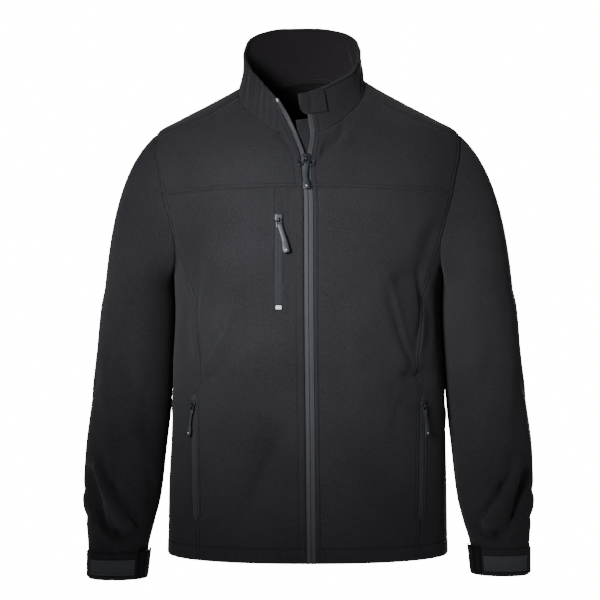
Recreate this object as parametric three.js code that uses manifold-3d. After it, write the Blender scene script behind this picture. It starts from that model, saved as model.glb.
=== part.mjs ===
// Softshell jacket, filled out as it is worn, with no wearer. Millimetres, +Z up.
// The front faces -Y and the wearer's left arm is at +X. The origin is the middle of
// the neck base, at the height of the shoulder points.
// Each cloth piece is a wall worked out on one body surface, so that neighbours meet
// along shared seam lines. A place on that surface is a bearing, 0 at the centre front
// and 90 degrees at the wearer's left side, and a height.
import * as THREE from 'three';
import * as BufferGeometryUtils from 'three/addons/utils/BufferGeometryUtils.js';
import Module from 'manifold-3d';

const wasm = await Module();
wasm.setup();

// Thicknesses and gaps
const CLOTH = 2.0;
const LINING = 1.4;
const TAPE = 1.2;
const SEAM_GAP = 0.3;
const LAYER_GAP = 0.4;
const COLLAR_LIFT = 1.8;

// Heights of the main lines
const HEM_Z = -703;
const YOKE_FRONT_Z = -149;
const SLEEVE_TOP_Z = -300;
const CUFF_Z = { right: -735.5, left: -729.5 };

// Armhole: height range and half widths in degrees of bearing, wider at the bottom
const ARMHOLE = { top: -62, bottom: -270, front: 28.2, frontLean: 6.5, back: 26, backLean: 3 };
const ARMHOLE_ROUNDNESS = 0.6;

// Where the pieces meet round the armhole, in degrees from its top towards the front
const TURN = { shoulder: 19, yoke: 86, princess: 128, backSeam: 242, full: 360 };

// Neck seam in plan
const NECK = { x: -9.5, y: -10, halfWidth: 97, front: 78, back: 76 };
const SHOULDER_BEARING = 80;

// The bend of the forward shoulder seam, how late the yoke seam rises, and how much of
// their own direction the collar's and sleeves' first rows keep at the seam
const SHOULDER_BEND = { bearing: 47, z: -60 };
const YOKE_RISE = 1.6;
const SEAM_KEEP = { collar: 0.2, sleeve: 0.15 };

// Collar curve: where its middle lies between seam and top edge, and how far it is drawn in
const COLLAR_BEND = { share: 0.45, drawnIn: 3 };

// Sleeve cap: its directions at the armhole and at the arm, and their reach
const CAP = { outAbove: 1, outBelow: 0.2, downAbove: -0.85, downBelow: -1, near: 0.3, far: 0.33,
  lean: 0.1, arrive: 0.36 };

// Heights between which the ridge is sought, and the steps of a profile down from it
const SEARCH = { low: -140, high: 50, halvings: 40 };
const PROFILE = { steps: 260, power: 2.2, past: 20 };

// Segments along the shared seams
const COUNT = {
  across: 6, front: 3, side: 8, back: 9, yoke: 5, throat: 3, nape: 12, collar: 5, cap: 8,
  strap: 18, patch: 8, loop: 6,
};

// Zips: half width of the closed main zip, how far its tape lies back, and the coil
// behind the tape's free edge
const ZIP = { half: 7, recess: 0.5, coil: 0.7 };
const POCKET = { top: -461, bottom: -637, end: 7, half: 4.4, tape: 8, sliderZ: -474 };
const CHEST = { x: -43, top: -163, bottom: -331, width: 11, sliderZ: -199, stop: 6 };
const MAIN_SLIDER_Z = -108;

// The flap behind the main zip, from its sewn edge to its free edge, and the chin guard
// that folds round the zip's top end, both measured from the left front edge
const FLAP = { sewn: -11, free: 25, low: 4.4, high: 6.8, from: -260, to: -110, collarRows: 2 };
const GUARD = { sewn: -24, fold: 14, back: -8, out: 0.5, inside: 4.6, cloth: 1.5, lift: 1.2,
  rows: [0.5, 0.75, 1] };
const TOP_STOP = { width: 4.5, height: 5, thick: 1.4 };
const NECK_TAPE = { width: 7, thick: 1, start: 0.5, depth: 0.95 };

// Cuff straps: height above the sleeve's end and turns from the sleeve's outer side
const CUFF = {
  strap: { low: 3, high: 40, from: -25, to: 205, offset: 1.1, thick: 1.4 },
  patch: { low: 8, high: 31, from: 40, to: 126, offset: 3, thick: 0.9 },
  loop: { low: 1, high: 43, from: 133, to: 200, offset: 3, thick: 1.6 },
};

// Sliders: half width at the crown and the foot, and length; the bridge over a pull's bar
const SLIDER = {
  main: { crown: 6.4, foot: 4.6, length: 18, wing: 12.5 },
  chest: { crown: 6.2, foot: 4.6, length: 22, wing: 0 },
  pocket: { crown: 4.6, foot: 3.6, length: 17, wing: 0 },
};
const PLATE = { gap: 0.3, thick: 1.8 };
const BRIDGE = { half: 1.5, hole: 1.7, leg: 1.8, clear: 3.2, roof: 1.5 };

// Pull tabs: widths, length below the bar, and how they hang
const PULL = {
  main: { neck: 3, end: 5.4, length: 47, tilt: 0, lean: 0 },
  chest: { neck: 3.6, end: 5.2, length: 51, tilt: 14, lean: 1 },
  pocketRight: { neck: 2.6, end: 4, length: 45, tilt: -5, lean: 4 },
  pocketLeft: { neck: 2.6, end: 4, length: 45, tilt: 5, lean: 4 },
};
const BAR = { radius: 0.9, inner: 2.7, outer: 4.3, start: 5.4, thick: 1.1 };

// Body sections: half width at the side, depth in front of and behind the side line,
// and the power of the rounded section (2 is an ellipse, more is squarer)
const BODY = [
  { z: -730, halfWidth: 215, front: 130, back: 123, power: 2.3 },
  { z: -655, halfWidth: 214, front: 129, back: 122, power: 2.3 },
  { z: -544, halfWidth: 212, front: 128, back: 117, power: 2.35 },
  { z: -470, halfWidth: 209, front: 127, back: 112, power: 2.35 },
  { z: -400, halfWidth: 203.5, front: 127, back: 110, power: 2.35 },
  { z: -340, halfWidth: 200, front: 129, back: 112, power: 2.35 },
  { z: -300, halfWidth: 202, front: 129, back: 116, power: 2.3 },
  { z: -270, halfWidth: 209, front: 128, back: 118, power: 2.3 },
  { z: -240, halfWidth: 221, front: 126, back: 119, power: 2.25 },
  { z: -200, halfWidth: 235, front: 121, back: 119, power: 2.2 },
  { z: -150, halfWidth: 245, front: 112, back: 116, power: 2.12 },
  { z: -100, halfWidth: 246, front: 100, back: 110, power: 2.05 },
  { z: -75, halfWidth: 240, front: 90, back: 105, power: 2 },
  { z: -57, halfWidth: 229, front: 80, back: 101, power: 2 },
  { z: -39, halfWidth: 197, front: 69, back: 96, power: 2 },
  { z: -15, halfWidth: 151, front: 49, back: 89, power: 2 },
  { z: -2, halfWidth: 127, front: 35, back: 84, power: 2 },
  { z: 8, halfWidth: 109, front: 24, back: 80, power: 2 },
  { z: 20, halfWidth: 90, front: 16, back: 74, power: 2 },
  { z: 33, halfWidth: 70, front: 10, back: 66, power: 2 },
  { z: 50, halfWidth: 40, front: 4, back: 50, power: 2 },
];

// Front edges of the cloth beside the main zip; above the slider they part in a V
const FRONT_EDGE = [
  { z: -730, right: -2.3, left: 12 },
  { z: -540, right: -3.9, left: 10.3 },
  { z: -316, right: -6.2, left: 8 },
  { z: -172, right: -6.8, left: 7.6 },
  { z: -120, right: -9.6, left: 4.8 },
  { z: -105, right: -10.9, left: 5.6 },
  { z: -73, right: -21.5, left: 10.5 },
  { z: -50, right: -29, left: 13 },
];

// Seams between the side panels and their neighbours, as distances from the centre plane
const SIDE_SEAMS = [
  { z: -730, front: 164, back: 166 },
  { z: -680, front: 165, back: 165 },
  { z: -637, front: 168, back: 163 },
  { z: -560, front: 170, back: 160 },
  { z: -461, front: 171, back: 156 },
  { z: -440, front: 168, back: 155 },
  { z: -420, front: 165, back: 154 },
  { z: -361, front: 171, back: 158 },
  { z: -316, front: 175, back: 166 },
  { z: -271, front: 187, back: 184 },
  { z: -230, front: 198, back: 203 },
];
const SEAM_ROWS = [-703, -672, -645, -634, -590, -545, -500, -465, -454, -410, -345, -285, -230];

// Soft creases and swells of the body: a stroke from one place to another on the front
// or the back, how wide it is and how high it stands
const BODY_FOLDS = [
  { face: -1, x0: -122, z0: -338, x1: -150, z1: -410, width: 15, height: 4.5 },
  { face: -1, x0: -140, z0: -330, x1: -160, z1: -405, width: 12, height: -4 },
  { face: -1, x0: -150, z0: -432, x1: -172, z1: -436, width: 12, height: -5 },
  { face: -1, x0: 118, z0: -285, x1: 146, z1: -405, width: 15, height: 4.5 },
  { face: -1, x0: 134, z0: -290, x1: 160, z1: -400, width: 12, height: -5 },
  { face: -1, x0: 150, z0: -428, x1: 174, z1: -432, width: 12, height: -5 },
  { face: -1, x0: -165, z0: -235, x1: -140, z1: -330, width: 22, height: -5 },
  { face: -1, x0: 178, z0: -225, x1: 150, z1: -290, width: 20, height: -4 },
  { face: -1, x0: -45, z0: -515, x1: -98, z1: -625, width: 26, height: -4 },
  { face: -1, x0: 60, z0: -560, x1: 110, z1: -660, width: 30, height: 3 },
  { face: 1, x0: -60, z0: -150, x1: -150, z1: -250, width: 24, height: 4 },
  { face: 1, x0: 60, z0: -160, x1: 155, z1: -255, width: 24, height: 4 },
  { face: 1, x0: -150, z0: -300, x1: -70, z1: -430, width: 24, height: -5 },
  { face: 1, x0: 150, z0: -310, x1: 80, z1: -420, width: 22, height: -5 },
  { face: 1, x0: -70, z0: -470, x1: -90, z1: -640, width: 26, height: 4 },
  { face: 1, x0: 60, z0: -450, x1: 85, z1: -620, width: 28, height: 4 },
  { face: 1, x0: -10, z0: -400, x1: 5, z1: -560, width: 24, height: -4 },
];

// Sleeve sections below the armpit: outer and inner side lines of each arm, as distances
// from the centre plane, and the middle and half depth seen from the side
const SLEEVE = [
  { z: -750, outerRight: 332, innerRight: 249, outerLeft: 335, innerLeft: 254, y: -47, half: 31 },
  { z: -722, outerRight: 332.6, innerRight: 245, outerLeft: 335, innerLeft: 249.6, y: -43, half: 34 },
  { z: -687, outerRight: 333.5, innerRight: 241.2, outerLeft: 336, innerLeft: 246.3, y: -36, half: 42 },
  { z: -651, outerRight: 337.4, innerRight: 232.8, outerLeft: 339.8, innerLeft: 236.3, y: -28, half: 52 },
  { z: -616, outerRight: 343.6, innerRight: 224.4, outerLeft: 345.4, innerLeft: 228.2, y: -19, half: 58 },
  { z: -544, outerRight: 341, innerRight: 216.8, outerLeft: 344.5, innerLeft: 220.5, y: -4, half: 62 },
  { z: -470, outerRight: 334, innerRight: 209.5, outerLeft: 337.6, innerLeft: 213, y: 4, half: 65 },
  { z: -396, outerRight: 325, innerRight: 206.5, outerLeft: 328, innerLeft: 208, y: 5, half: 68 },
  { z: -322, outerRight: 317, innerRight: 204, outerLeft: 320.6, innerLeft: 205, y: 2, half: 71 },
  { z: -300, outerRight: 312, innerRight: 205.5, outerLeft: 315, innerLeft: 206, y: 0, half: 72 },
];
const SLEEVE_POWER = 2.15;
const ARM_ROWS = [
  -320, -350, -385, -425, -465, -505, -540, -568, -592, -612, -632, -651, -672, -700,
];

// Creases of a sleeve, in the right sleeve's distances from the centre plane
const SLEEVE_FOLDS = [
  { face: -1, x0: 310, z0: -556, x1: 292, z1: -596, width: 10, height: -5 },
  { face: -1, x0: 292, z0: -596, x1: 253, z1: -646, width: 8, height: -7 },
  { face: -1, x0: 316, z0: -572, x1: 270, z1: -646, width: 15, height: 7 },
  { face: -1, x0: 334, z0: -575, x1: 316, z1: -632, width: 10, height: -7 },
  { face: -1, x0: 312, z0: -640, x1: 284, z1: -664, width: 9, height: -7 },
  { face: -1, x0: 284, z0: -664, x1: 254, z1: -656, width: 8, height: -5 },
  { face: -1, x0: 300, z0: -390, x1: 268, z1: -450, width: 20, height: -3 },
  { face: -1, x0: 322, z0: -430, x1: 322, z1: -540, width: 16, height: -3 },
  { face: 1, x0: 320, z0: -510, x1: 250, z1: -560, width: 13, height: 6 },
  { face: 1, x0: 325, z0: -560, x1: 245, z1: -600, width: 12, height: -6 },
  { face: 1, x0: 330, z0: -600, x1: 255, z1: -640, width: 13, height: 5 },
  { face: 1, x0: 305, z0: -330, x1: 235, z1: -400, width: 22, height: 4 },
];

// Top edge of the collar, from the wearer's right front corner round the back
const COLLAR_TOP = [
  { share: 0, x: -48, y: -84, z: -17 },
  { share: 0.1, x: -70, y: -62, z: 11 },
  { share: 0.2, x: -90, y: -34, z: 38 },
  { share: 0.3, x: -99.5, y: 0, z: 64 },
  { share: 0.37, x: -95, y: 20, z: 84 },
  { share: 0.43, x: -77, y: 39, z: 100 },
  { share: 0.52, x: -32, y: 50, z: 110 },
  { share: 0.59, x: 12, y: 50, z: 110 },
  { share: 0.66, x: 58, y: 39, z: 101 },
  { share: 0.72, x: 77, y: 22, z: 86 },
  { share: 0.78, x: 82, y: 2, z: 66 },
  { share: 0.86, x: 72, y: -32, z: 36 },
  { share: 0.94, x: 36, y: -70, z: 10 },
  { share: 1, x: 2, y: -90, z: -7 },
];

const COLOUR = {
  cloth: 0x2b2b31, lining: 0x221f24, tape: 0x44454c, dark: 0x1d1f22, pull: 0x2a2f36,
  metal: 0x9a9ca0, patch: 0x33353b,
};

const radians = THREE.MathUtils.degToRad;
const degrees = THREE.MathUtils.radToDeg;
const { clamp, lerp, smoothstep } = THREE.MathUtils;

/** Reads one column of a table as a smooth curve that never overshoots its rows. */
function column(rows, along, name) {
  const order = [...rows].sort((a, b) => a[along] - b[along]);
  const at = order.map((row) => row[along]);
  const value = order.map((row) => row[name]);
  const step = at.slice(1).map((place, i) => place - at[i]);
  const rise = step.map((width, i) => (value[i + 1] - value[i]) / width);
  const slope = value.map((_, i) => {
    if (i === 0) return rise[0];
    if (i === rise.length) return rise[i - 1];
    if (rise[i - 1] * rise[i] <= 0) return 0;
    const before = 2 * step[i] + step[i - 1];
    const after = step[i] + 2 * step[i - 1];
    return (before + after) / (before / rise[i - 1] + after / rise[i]);
  });
  return (place) => {
    const here = clamp(place, at[0], at[at.length - 1]);
    let i = 0;
    while (i < step.length - 1 && here > at[i + 1]) i += 1;
    const t = (here - at[i]) / step[i];
    const u = 1 - t;
    return value[i] * (1 + 2 * t) * u * u + value[i + 1] * t * t * (3 - 2 * t)
      + step[i] * t * u * (slope[i] * u - slope[i + 1] * t);
  };
}

/** Gives every column of a table but the one it runs along. */
function columns(rows, along) {
  const names = Object.keys(rows[0]).filter((name) => name !== along);
  return Object.fromEntries(names.map((name) => [name, column(rows, along, name)]));
}

const body = columns(BODY, 'z');
const frontEdge = columns(FRONT_EDGE, 'z');
const sideSeams = columns(SIDE_SEAMS, 'z');
const sleeve = columns(SLEEVE, 'z');
const collarTop = columns(COLLAR_TOP, 'share');

const signedPower = (value, power) => Math.sign(value) * Math.abs(value) ** power;

/** A point of the body surface at a bearing in degrees and a height. */
function bodyPoint({ bearing, z }) {
  const turn = radians(bearing);
  const power = 2 / body.power(z);
  const depth = Math.cos(turn) > 0 ? body.front(z) : body.back(z);
  return new THREE.Vector3(
    body.halfWidth(z) * signedPower(Math.sin(turn), power),
    -depth * signedPower(Math.cos(turn), power),
    z,
  );
}

/** How far out a point lies: 1 on the body surface, less inside it. */
function fullness(x, y, z) {
  const power = body.power(z);
  const depth = y < 0 ? body.front(z) : body.back(z);
  return Math.abs(x / body.halfWidth(z)) ** power + Math.abs(y / depth) ** power;
}

/** The outward direction of the body surface at a point of it. */
function bodyNormal(point) {
  const { x, y, z } = point;
  const power = body.power(z);
  const depth = y < 0 ? body.front(z) : body.back(z);
  const wide = body.halfWidth(z);
  const reach = 0.5;
  return new THREE.Vector3(
    power / wide * signedPower(x / wide, power - 1),
    power / depth * signedPower(y / depth, power - 1),
    (fullness(x, y, z + reach) - fullness(x, y, z - reach)) / (2 * reach),
  ).normalize();
}

/** The bearing of the front surface where it is x from the centre plane. */
function frontBearing(x, z) {
  const share = clamp(x / body.halfWidth(z), -1, 1);
  return degrees(Math.asin(signedPower(share, body.power(z) / 2)));
}

/** The same on the back surface, counted on past 90 degrees. */
function backBearing(x, z) {
  return Math.sign(x) * 180 - frontBearing(x, z);
}

/** The height of the body surface over a place in plan, found by halving. */
function heightOver(x, y) {
  let { low, high } = SEARCH;
  for (let i = 0; i < SEARCH.halvings; i += 1) {
    const middle = (low + high) / 2;
    if (fullness(x, y, middle) < 1) low = middle;
    else high = middle;
  }
  return (low + high) / 2;
}

/** The sum of the folds that reach a point, where away is its distance from x = 0. */
function foldHeight(folds, face, away, z) {
  return folds.reduce((sum, fold) => {
    if (fold.face !== face) return sum;
    const dx = fold.x1 - fold.x0;
    const dz = fold.z1 - fold.z0;
    const along = clamp(((away - fold.x0) * dx + (z - fold.z0) * dz) / (dx * dx + dz * dz), 0, 1);
    const off = Math.hypot(away - fold.x0 - along * dx, z - fold.z0 - along * dz);
    return sum + fold.height * Math.exp(-((off / fold.width) ** 2));
  }, 0);
}

/** A body point with its folds, moved out by an offset. */
function onBody(place, offset = 0) {
  const point = place.isVector3 ? place.clone() : bodyPoint(place);
  const height = foldHeight(BODY_FOLDS, Math.sign(point.y), point.x, point.z);
  return point.clone().addScaledVector(bodyNormal(point), height + offset);
}

/** Evenly spaced shares from 0 to 1. */
const shares = (count) => Array.from({ length: count + 1 }, (_, i) => i / count);

/** Places along the armhole from one turn to another, on one side (+1 is the left). */
function armholePlaces(side, from, to, count) {
  const middle = (ARMHOLE.top + ARMHOLE.bottom) / 2;
  const half = (ARMHOLE.top - ARMHOLE.bottom) / 2;
  return shares(count).map((share) => {
    const turn = radians(lerp(from, to, share));
    const bulge = Math.abs(Math.sin(turn)) ** ARMHOLE_ROUNDNESS;
    const onFront = Math.sin(turn) > 0;
    const width = onFront
      ? ARMHOLE.front - ARMHOLE.frontLean * Math.cos(turn)
      : ARMHOLE.back - ARMHOLE.backLean * Math.cos(turn);
    const bearing = 90 + (onFront ? -1 : 1) * width * bulge;
    return { bearing: side * bearing, z: middle + half * Math.cos(turn) };
  });
}

/** The neck seam's place at a plan bearing; 0 is the centre front. */
function neckPlace(planBearing) {
  const turn = radians(planBearing);
  const deep = Math.cos(turn) > 0 ? NECK.front : NECK.back;
  const x = NECK.x + NECK.halfWidth * Math.sin(turn);
  const y = NECK.y - deep * Math.cos(turn);
  return new THREE.Vector3(x, y, heightOver(x, y));
}

/** Turns a point of the body surface back into its bearing and height. */
function placeOf(point) {
  const onFront = point.y < 0;
  const bearing = onFront ? frontBearing(point.x, point.z) : backBearing(point.x, point.z);
  return { bearing, z: point.z };
}

/** The plan bearing where the neck seam meets a front edge, found by halving. */
function neckStart(side) {
  const edge = side > 0 ? frontEdge.left : frontEdge.right;
  let near = 0;
  let far = side * 30;
  for (let i = 0; i < 30; i += 1) {
    const middle = (near + far) / 2;
    const point = neckPlace(middle);
    if (side * (point.x - edge(point.z)) < 0) near = middle;
    else far = middle;
  }
  return near;
}

const START = { '-1': neckStart(-1), 1: neckStart(1) };

/** Places of the front part of the neck seam, from the front edge to the shoulder seam. */
function throatPlaces(side) {
  return shares(COUNT.yoke).map((share) => (
    placeOf(neckPlace(lerp(START[side], side * SHOULDER_BEARING, share)))));
}

/** Places down a front edge between two heights. */
function edgePlaces(side, from, to, count) {
  const edge = side > 0 ? frontEdge.left : frontEdge.right;
  return shares(count).map((share) => {
    const z = lerp(from, to, share);
    return { bearing: frontBearing(edge(z), z), z };
  });
}

/** Places of the forward shoulder seam, from the neck to the armhole. */
function shoulderPlaces(side) {
  const start = throatPlaces(side).at(-1);
  const end = armholePlaces(side, TURN.shoulder, TURN.shoulder + 1, 1)[0];
  const bend = { bearing: side * SHOULDER_BEND.bearing, z: SHOULDER_BEND.z };
  return shares(COUNT.across).map((t) => ({
    bearing: (1 - t) ** 2 * start.bearing + 2 * t * (1 - t) * bend.bearing + t * t * end.bearing,
    z: (1 - t) ** 2 * start.z + 2 * t * (1 - t) * bend.z + t * t * end.z,
  }));
}

/** Places of the yoke seam, from the front edge to the armhole. */
function yokePlaces(side) {
  const start = edgePlaces(side, YOKE_FRONT_Z, YOKE_FRONT_Z + 1, 1)[0];
  const end = armholePlaces(side, TURN.yoke, TURN.yoke + 1, 1)[0];
  return shares(COUNT.across).map((t) => ({
    bearing: lerp(start.bearing, end.bearing, t),
    z: lerp(start.z, end.z, t ** YOKE_RISE),
  }));
}

/** How far the seam opens round a hand pocket, on each side of its line. */
function pocketOpening(z) {
  const below = smoothstep(z, POCKET.bottom - POCKET.end, POCKET.bottom + POCKET.end / 2);
  const above = 1 - smoothstep(z, POCKET.top - POCKET.end / 2, POCKET.top + POCKET.end);
  return POCKET.half * below * above;
}

/** Places up the front or back side seam; which is front or back, shift opens it. */
function seamPlaces(side, which, shift) {
  const top = which === 'front' ? TURN.princess : TURN.backSeam;
  const end = armholePlaces(side, top, top + 1, 1)[0];
  const lift = end.z - SEAM_ROWS.at(-1);
  return SEAM_ROWS.map((row, i) => {
    if (i === SEAM_ROWS.length - 1) return end;
    const z = row + lift * (i / (SEAM_ROWS.length - 1)) ** 4;
    const x = side * (sideSeams[which](z) + shift * pocketOpening(z));
    return { bearing: which === 'front' ? frontBearing(x, z) : backBearing(x, z), z };
  });
}

/** Fills a patch between four lines of places; u runs along bottom and top. */
function patch(bottom, top, start, end) {
  const nu = bottom.length - 1;
  const nv = start.length - 1;
  const blend = (name, u, v, i, j) => {
    const across = (1 - u) * start[j][name] + u * end[j][name];
    const along = (1 - v) * bottom[i][name] + v * top[i][name];
    const corners = (1 - u) * (1 - v) * bottom[0][name] + u * (1 - v) * bottom[nu][name]
      + (1 - u) * v * top[0][name] + u * v * top[nu][name];
    return across + along - corners;
  };
  const names = Object.keys(bottom[0]);
  return start.map((_, j) => bottom.map((__, i) => (
    Object.fromEntries(names.map((name) => [name, blend(name, i / nu, j / nv, i, j)])))));
}

/** A node: its own mesh, material and name. */
function node(name, geometry, colour, finish = {}) {
  const { roughness = 0.85, metalness = 0 } = finish;
  const material = new THREE.MeshStandardMaterial({ color: colour, roughness, metalness });
  const mesh = new THREE.Mesh(geometry, material);
  mesh.name = name;
  return mesh;
}

/** A closed geometry from points and triangles, turned so that its faces point out. */
function closedGeometry(points, triangles) {
  const volume = triangles.reduce((sum, [a, b, c]) => (
    sum + points[a].dot(new THREE.Vector3().crossVectors(points[b], points[c]))), 0);
  const faces = volume < 0 ? triangles.map(([a, b, c]) => [a, c, b]) : triangles;
  const geometry = new THREE.BufferGeometry();
  geometry.setAttribute('position', new THREE.Float32BufferAttribute(
    points.flatMap((p) => [p.x, p.y, p.z]), 3));
  geometry.setIndex(faces.flat());
  return geometry;
}

/** Closes the space between two equal grids of points into one wall. */
function wall(outer, inner, ring = false) {
  const rows = outer.length;
  const cols = outer[0].length;
  const points = [...outer.flat(), ...inner.flat()];
  const at = (layer, j, i) => layer * rows * cols + j * cols + (i % cols);
  const triangles = [];
  const quad = (a, b, c, d) => triangles.push([a, b, c], [a, c, d]);
  const spans = ring ? cols : cols - 1;
  for (let j = 0; j < rows - 1; j += 1) {
    for (let i = 0; i < spans; i += 1) {
      quad(at(0, j, i), at(0, j, i + 1), at(0, j + 1, i + 1), at(0, j + 1, i));
      quad(at(1, j, i), at(1, j + 1, i), at(1, j + 1, i + 1), at(1, j, i + 1));
    }
    if (!ring) {
      quad(at(0, j, 0), at(0, j + 1, 0), at(1, j + 1, 0), at(1, j, 0));
      quad(at(0, j, cols - 1), at(1, j, cols - 1), at(1, j + 1, cols - 1), at(0, j + 1, cols - 1));
    }
  }
  for (let i = 0; i < spans; i += 1) {
    quad(at(0, 0, i), at(1, 0, i), at(1, 0, i + 1), at(0, 0, i + 1));
    quad(at(0, rows - 1, i), at(0, rows - 1, i + 1), at(1, rows - 1, i + 1), at(1, rows - 1, i));
  }
  return closedGeometry(points, triangles);
}

/** Moves the rim of a grid of points inwards, so that seams keep their gap. */
function insetRim(grid, amount) {
  const rows = grid.length;
  const cols = grid[0].length;
  const moved = grid.map((row) => row.map((p) => p.clone()));
  const pull = (j, i, dj, di) => {
    const inward = new THREE.Vector3().subVectors(grid[j + dj][i + di], grid[j][i]);
    const a = grid[clamp(j - Math.abs(di), 0, rows - 1)][clamp(i - Math.abs(dj), 0, cols - 1)];
    const b = grid[clamp(j + Math.abs(di), 0, rows - 1)][clamp(i + Math.abs(dj), 0, cols - 1)];
    const tangent = new THREE.Vector3().subVectors(b, a).normalize();
    inward.addScaledVector(tangent, -inward.dot(tangent)).normalize();
    moved[j][i].addScaledVector(inward, amount);
  };
  for (let j = 0; j < rows; j += 1) {
    pull(j, 0, 0, 1);
    pull(j, cols - 1, 0, -1);
  }
  for (let i = 0; i < cols; i += 1) {
    pull(0, i, 1, 0);
    pull(rows - 1, i, -1, 0);
  }
  return moved;
}

/** A body panel: points on the surface, inset at its seams, with a wall behind them. */
function panel(name, surface) {
  const rim = insetRim(surface, SEAM_GAP / 2);
  const outer = rim.map((row) => row.map((p) => onBody(p)));
  const inner = rim.map((row) => row.map((p) => onBody(p, -CLOTH)));
  return node(name, wall(outer, inner), COLOUR.cloth);
}

const toPoints = (places) => places.map((row) => row.map((place) => bodyPoint(place)));

/** The outer side of a lower front: the curved side seam, then the armhole. */
function frontSide(side) {
  const armhole = armholePlaces(side, TURN.princess, TURN.yoke, COUNT.front);
  return [...seamPlaces(side, 'front', -1), ...armhole.slice(1)];
}

/** The zip edge of a lower front, in steps that keep pace with its outer side. */
function lowerEdge(side) {
  const end = frontSide(side);
  const edge = side > 0 ? frontEdge.left : frontEdge.right;
  return end.map((place) => {
    const z = lerp(HEM_Z, YOKE_FRONT_Z, (place.z - HEM_Z) / (end.at(-1).z - HEM_Z));
    return { bearing: frontBearing(edge(z), z), z };
  });
}

/** Lower front: zip edge, hem, curved side seam, armhole and yoke seam. */
function frontPanel(name, side) {
  const start = lowerEdge(side);
  const end = frontSide(side);
  const bottom = shares(COUNT.across).map((share) => ({
    bearing: lerp(start[0].bearing, end[0].bearing, share), z: HEM_Z,
  }));
  return panel(name, toPoints(patch(bottom, yokePlaces(side), start, end)));
}

/** Front yoke: yoke seam, front edge and neck seam, armhole and shoulder seam. */
function yokePanel(name, side) {
  const throat = throatPlaces(side);
  const edge = edgePlaces(side, YOKE_FRONT_Z, throat[0].z, COUNT.throat);
  const start = [...edge.slice(0, -1), ...throat];
  const rows = start.length - 1;
  const end = armholePlaces(side, TURN.yoke, TURN.shoulder, rows);
  return panel(name, toPoints(patch(yokePlaces(side), shoulderPlaces(side), start, end)));
}

/** Side panel: from the front side seam under the arm to the back side seam. */
function sidePanel(name, side) {
  const start = seamPlaces(side, 'front', 1);
  const end = seamPlaces(side, 'back', 0);
  const top = armholePlaces(side, TURN.princess, TURN.backSeam, COUNT.side);
  const bottom = shares(COUNT.side).map((share) => ({
    bearing: lerp(start[0].bearing, end[0].bearing, share), z: HEM_Z,
  }));
  return panel(name, toPoints(patch(bottom, top, start, end)));
}

/** The profile of the surface x from the centre plane, from its ridge down one face. */
function ridgeProfile(x, face) {
  let { low, high } = SEARCH;
  for (let i = 0; i < SEARCH.halvings; i += 1) {
    const middle = (low + high) / 2;
    if (body.halfWidth(middle) > Math.abs(x)) low = middle;
    else high = middle;
  }
  const ridge = low;
  const list = [];
  let length = 0;
  let last = null;
  for (let i = 0; i <= PROFILE.steps; i += 1) {
    const z = ridge - (ridge - HEM_Z + PROFILE.past) * (i / PROFILE.steps) ** PROFILE.power;
    const share = Math.min(Math.abs(x) / body.halfWidth(z), 1);
    const deep = (1 - share ** body.power(z)) ** (1 / body.power(z));
    const y = face * deep * (face > 0 ? body.back(z) : body.front(z));
    if (last) length += Math.hypot(y - last.y, z - last.z);
    last = { length, y, z };
    list.push(last);
  }
  return list;
}

/** The distance of a surface point from the ridge, counted down the back as negative. */
function ridgeDistance(point) {
  const face = point.y < 0 ? -1 : 1;
  const list = ridgeProfile(point.x, face);
  const k = Math.max(list.findIndex((step) => step.z <= point.z), 1);
  const t = clamp((list[k - 1].z - point.z) / (list[k - 1].z - list[k].z), 0, 1);
  return -face * lerp(list[k - 1].length, list[k].length, t);
}

/** The surface point x from the centre plane at a distance from the ridge. */
function fromRidge(x, distance) {
  const list = ridgeProfile(x, distance > 0 ? -1 : 1);
  const length = Math.abs(distance);
  const found = list.findIndex((step) => step.length >= length);
  const k = found < 1 ? (found === 0 ? 1 : list.length - 1) : found;
  const t = (length - list[k - 1].length) / (list[k].length - list[k - 1].length);
  return new THREE.Vector3(x, lerp(list[k - 1].y, list[k].y, t), lerp(list[k - 1].z, list[k].z, t));
}

/** Neck seam points round the back, from one shoulder seam to the other. */
function napePoints() {
  const from = -SHOULDER_BEARING;
  const to = SHOULDER_BEARING - 360;
  return shares(COUNT.nape).map((share) => neckPlace(lerp(from, to, share)));
}

/** The back: up both side seams and armholes, over the shoulders to the front seams. */
function backPoints() {
  const sideOf = (side) => [
    ...seamPlaces(side, 'back', 0).map(bodyPoint),
    ...armholePlaces(side, TURN.backSeam, TURN.full + TURN.shoulder, COUNT.back)
      .slice(1).map(bodyPoint),
  ];
  const right = sideOf(-1);
  const left = sideOf(1);
  const top = [
    ...shoulderPlaces(-1).map(bodyPoint).reverse(),
    ...napePoints().slice(1, -1),
    ...shoulderPlaces(1).map(bodyPoint),
  ];
  const bottom = top.map((_, i) => {
    const bearing = lerp(backBearing(right[0].x, HEM_Z) + 360, backBearing(left[0].x, HEM_Z),
      i / (top.length - 1));
    return bodyPoint({ bearing, z: HEM_Z });
  });
  const flat = (points) => points.map((p) => ({ x: p.x, run: ridgeDistance(p) }));
  const grid = patch(flat(bottom), flat(top), flat(right), flat(left));
  return grid.map((row, j) => row.map((place, i) => {
    if (j === 0) return bottom[i];
    if (j === grid.length - 1) return top[i];
    if (i === 0) return right[j];
    if (i === row.length - 1) return left[j];
    return fromRidge(place.x, place.run);
  }));
}

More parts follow.
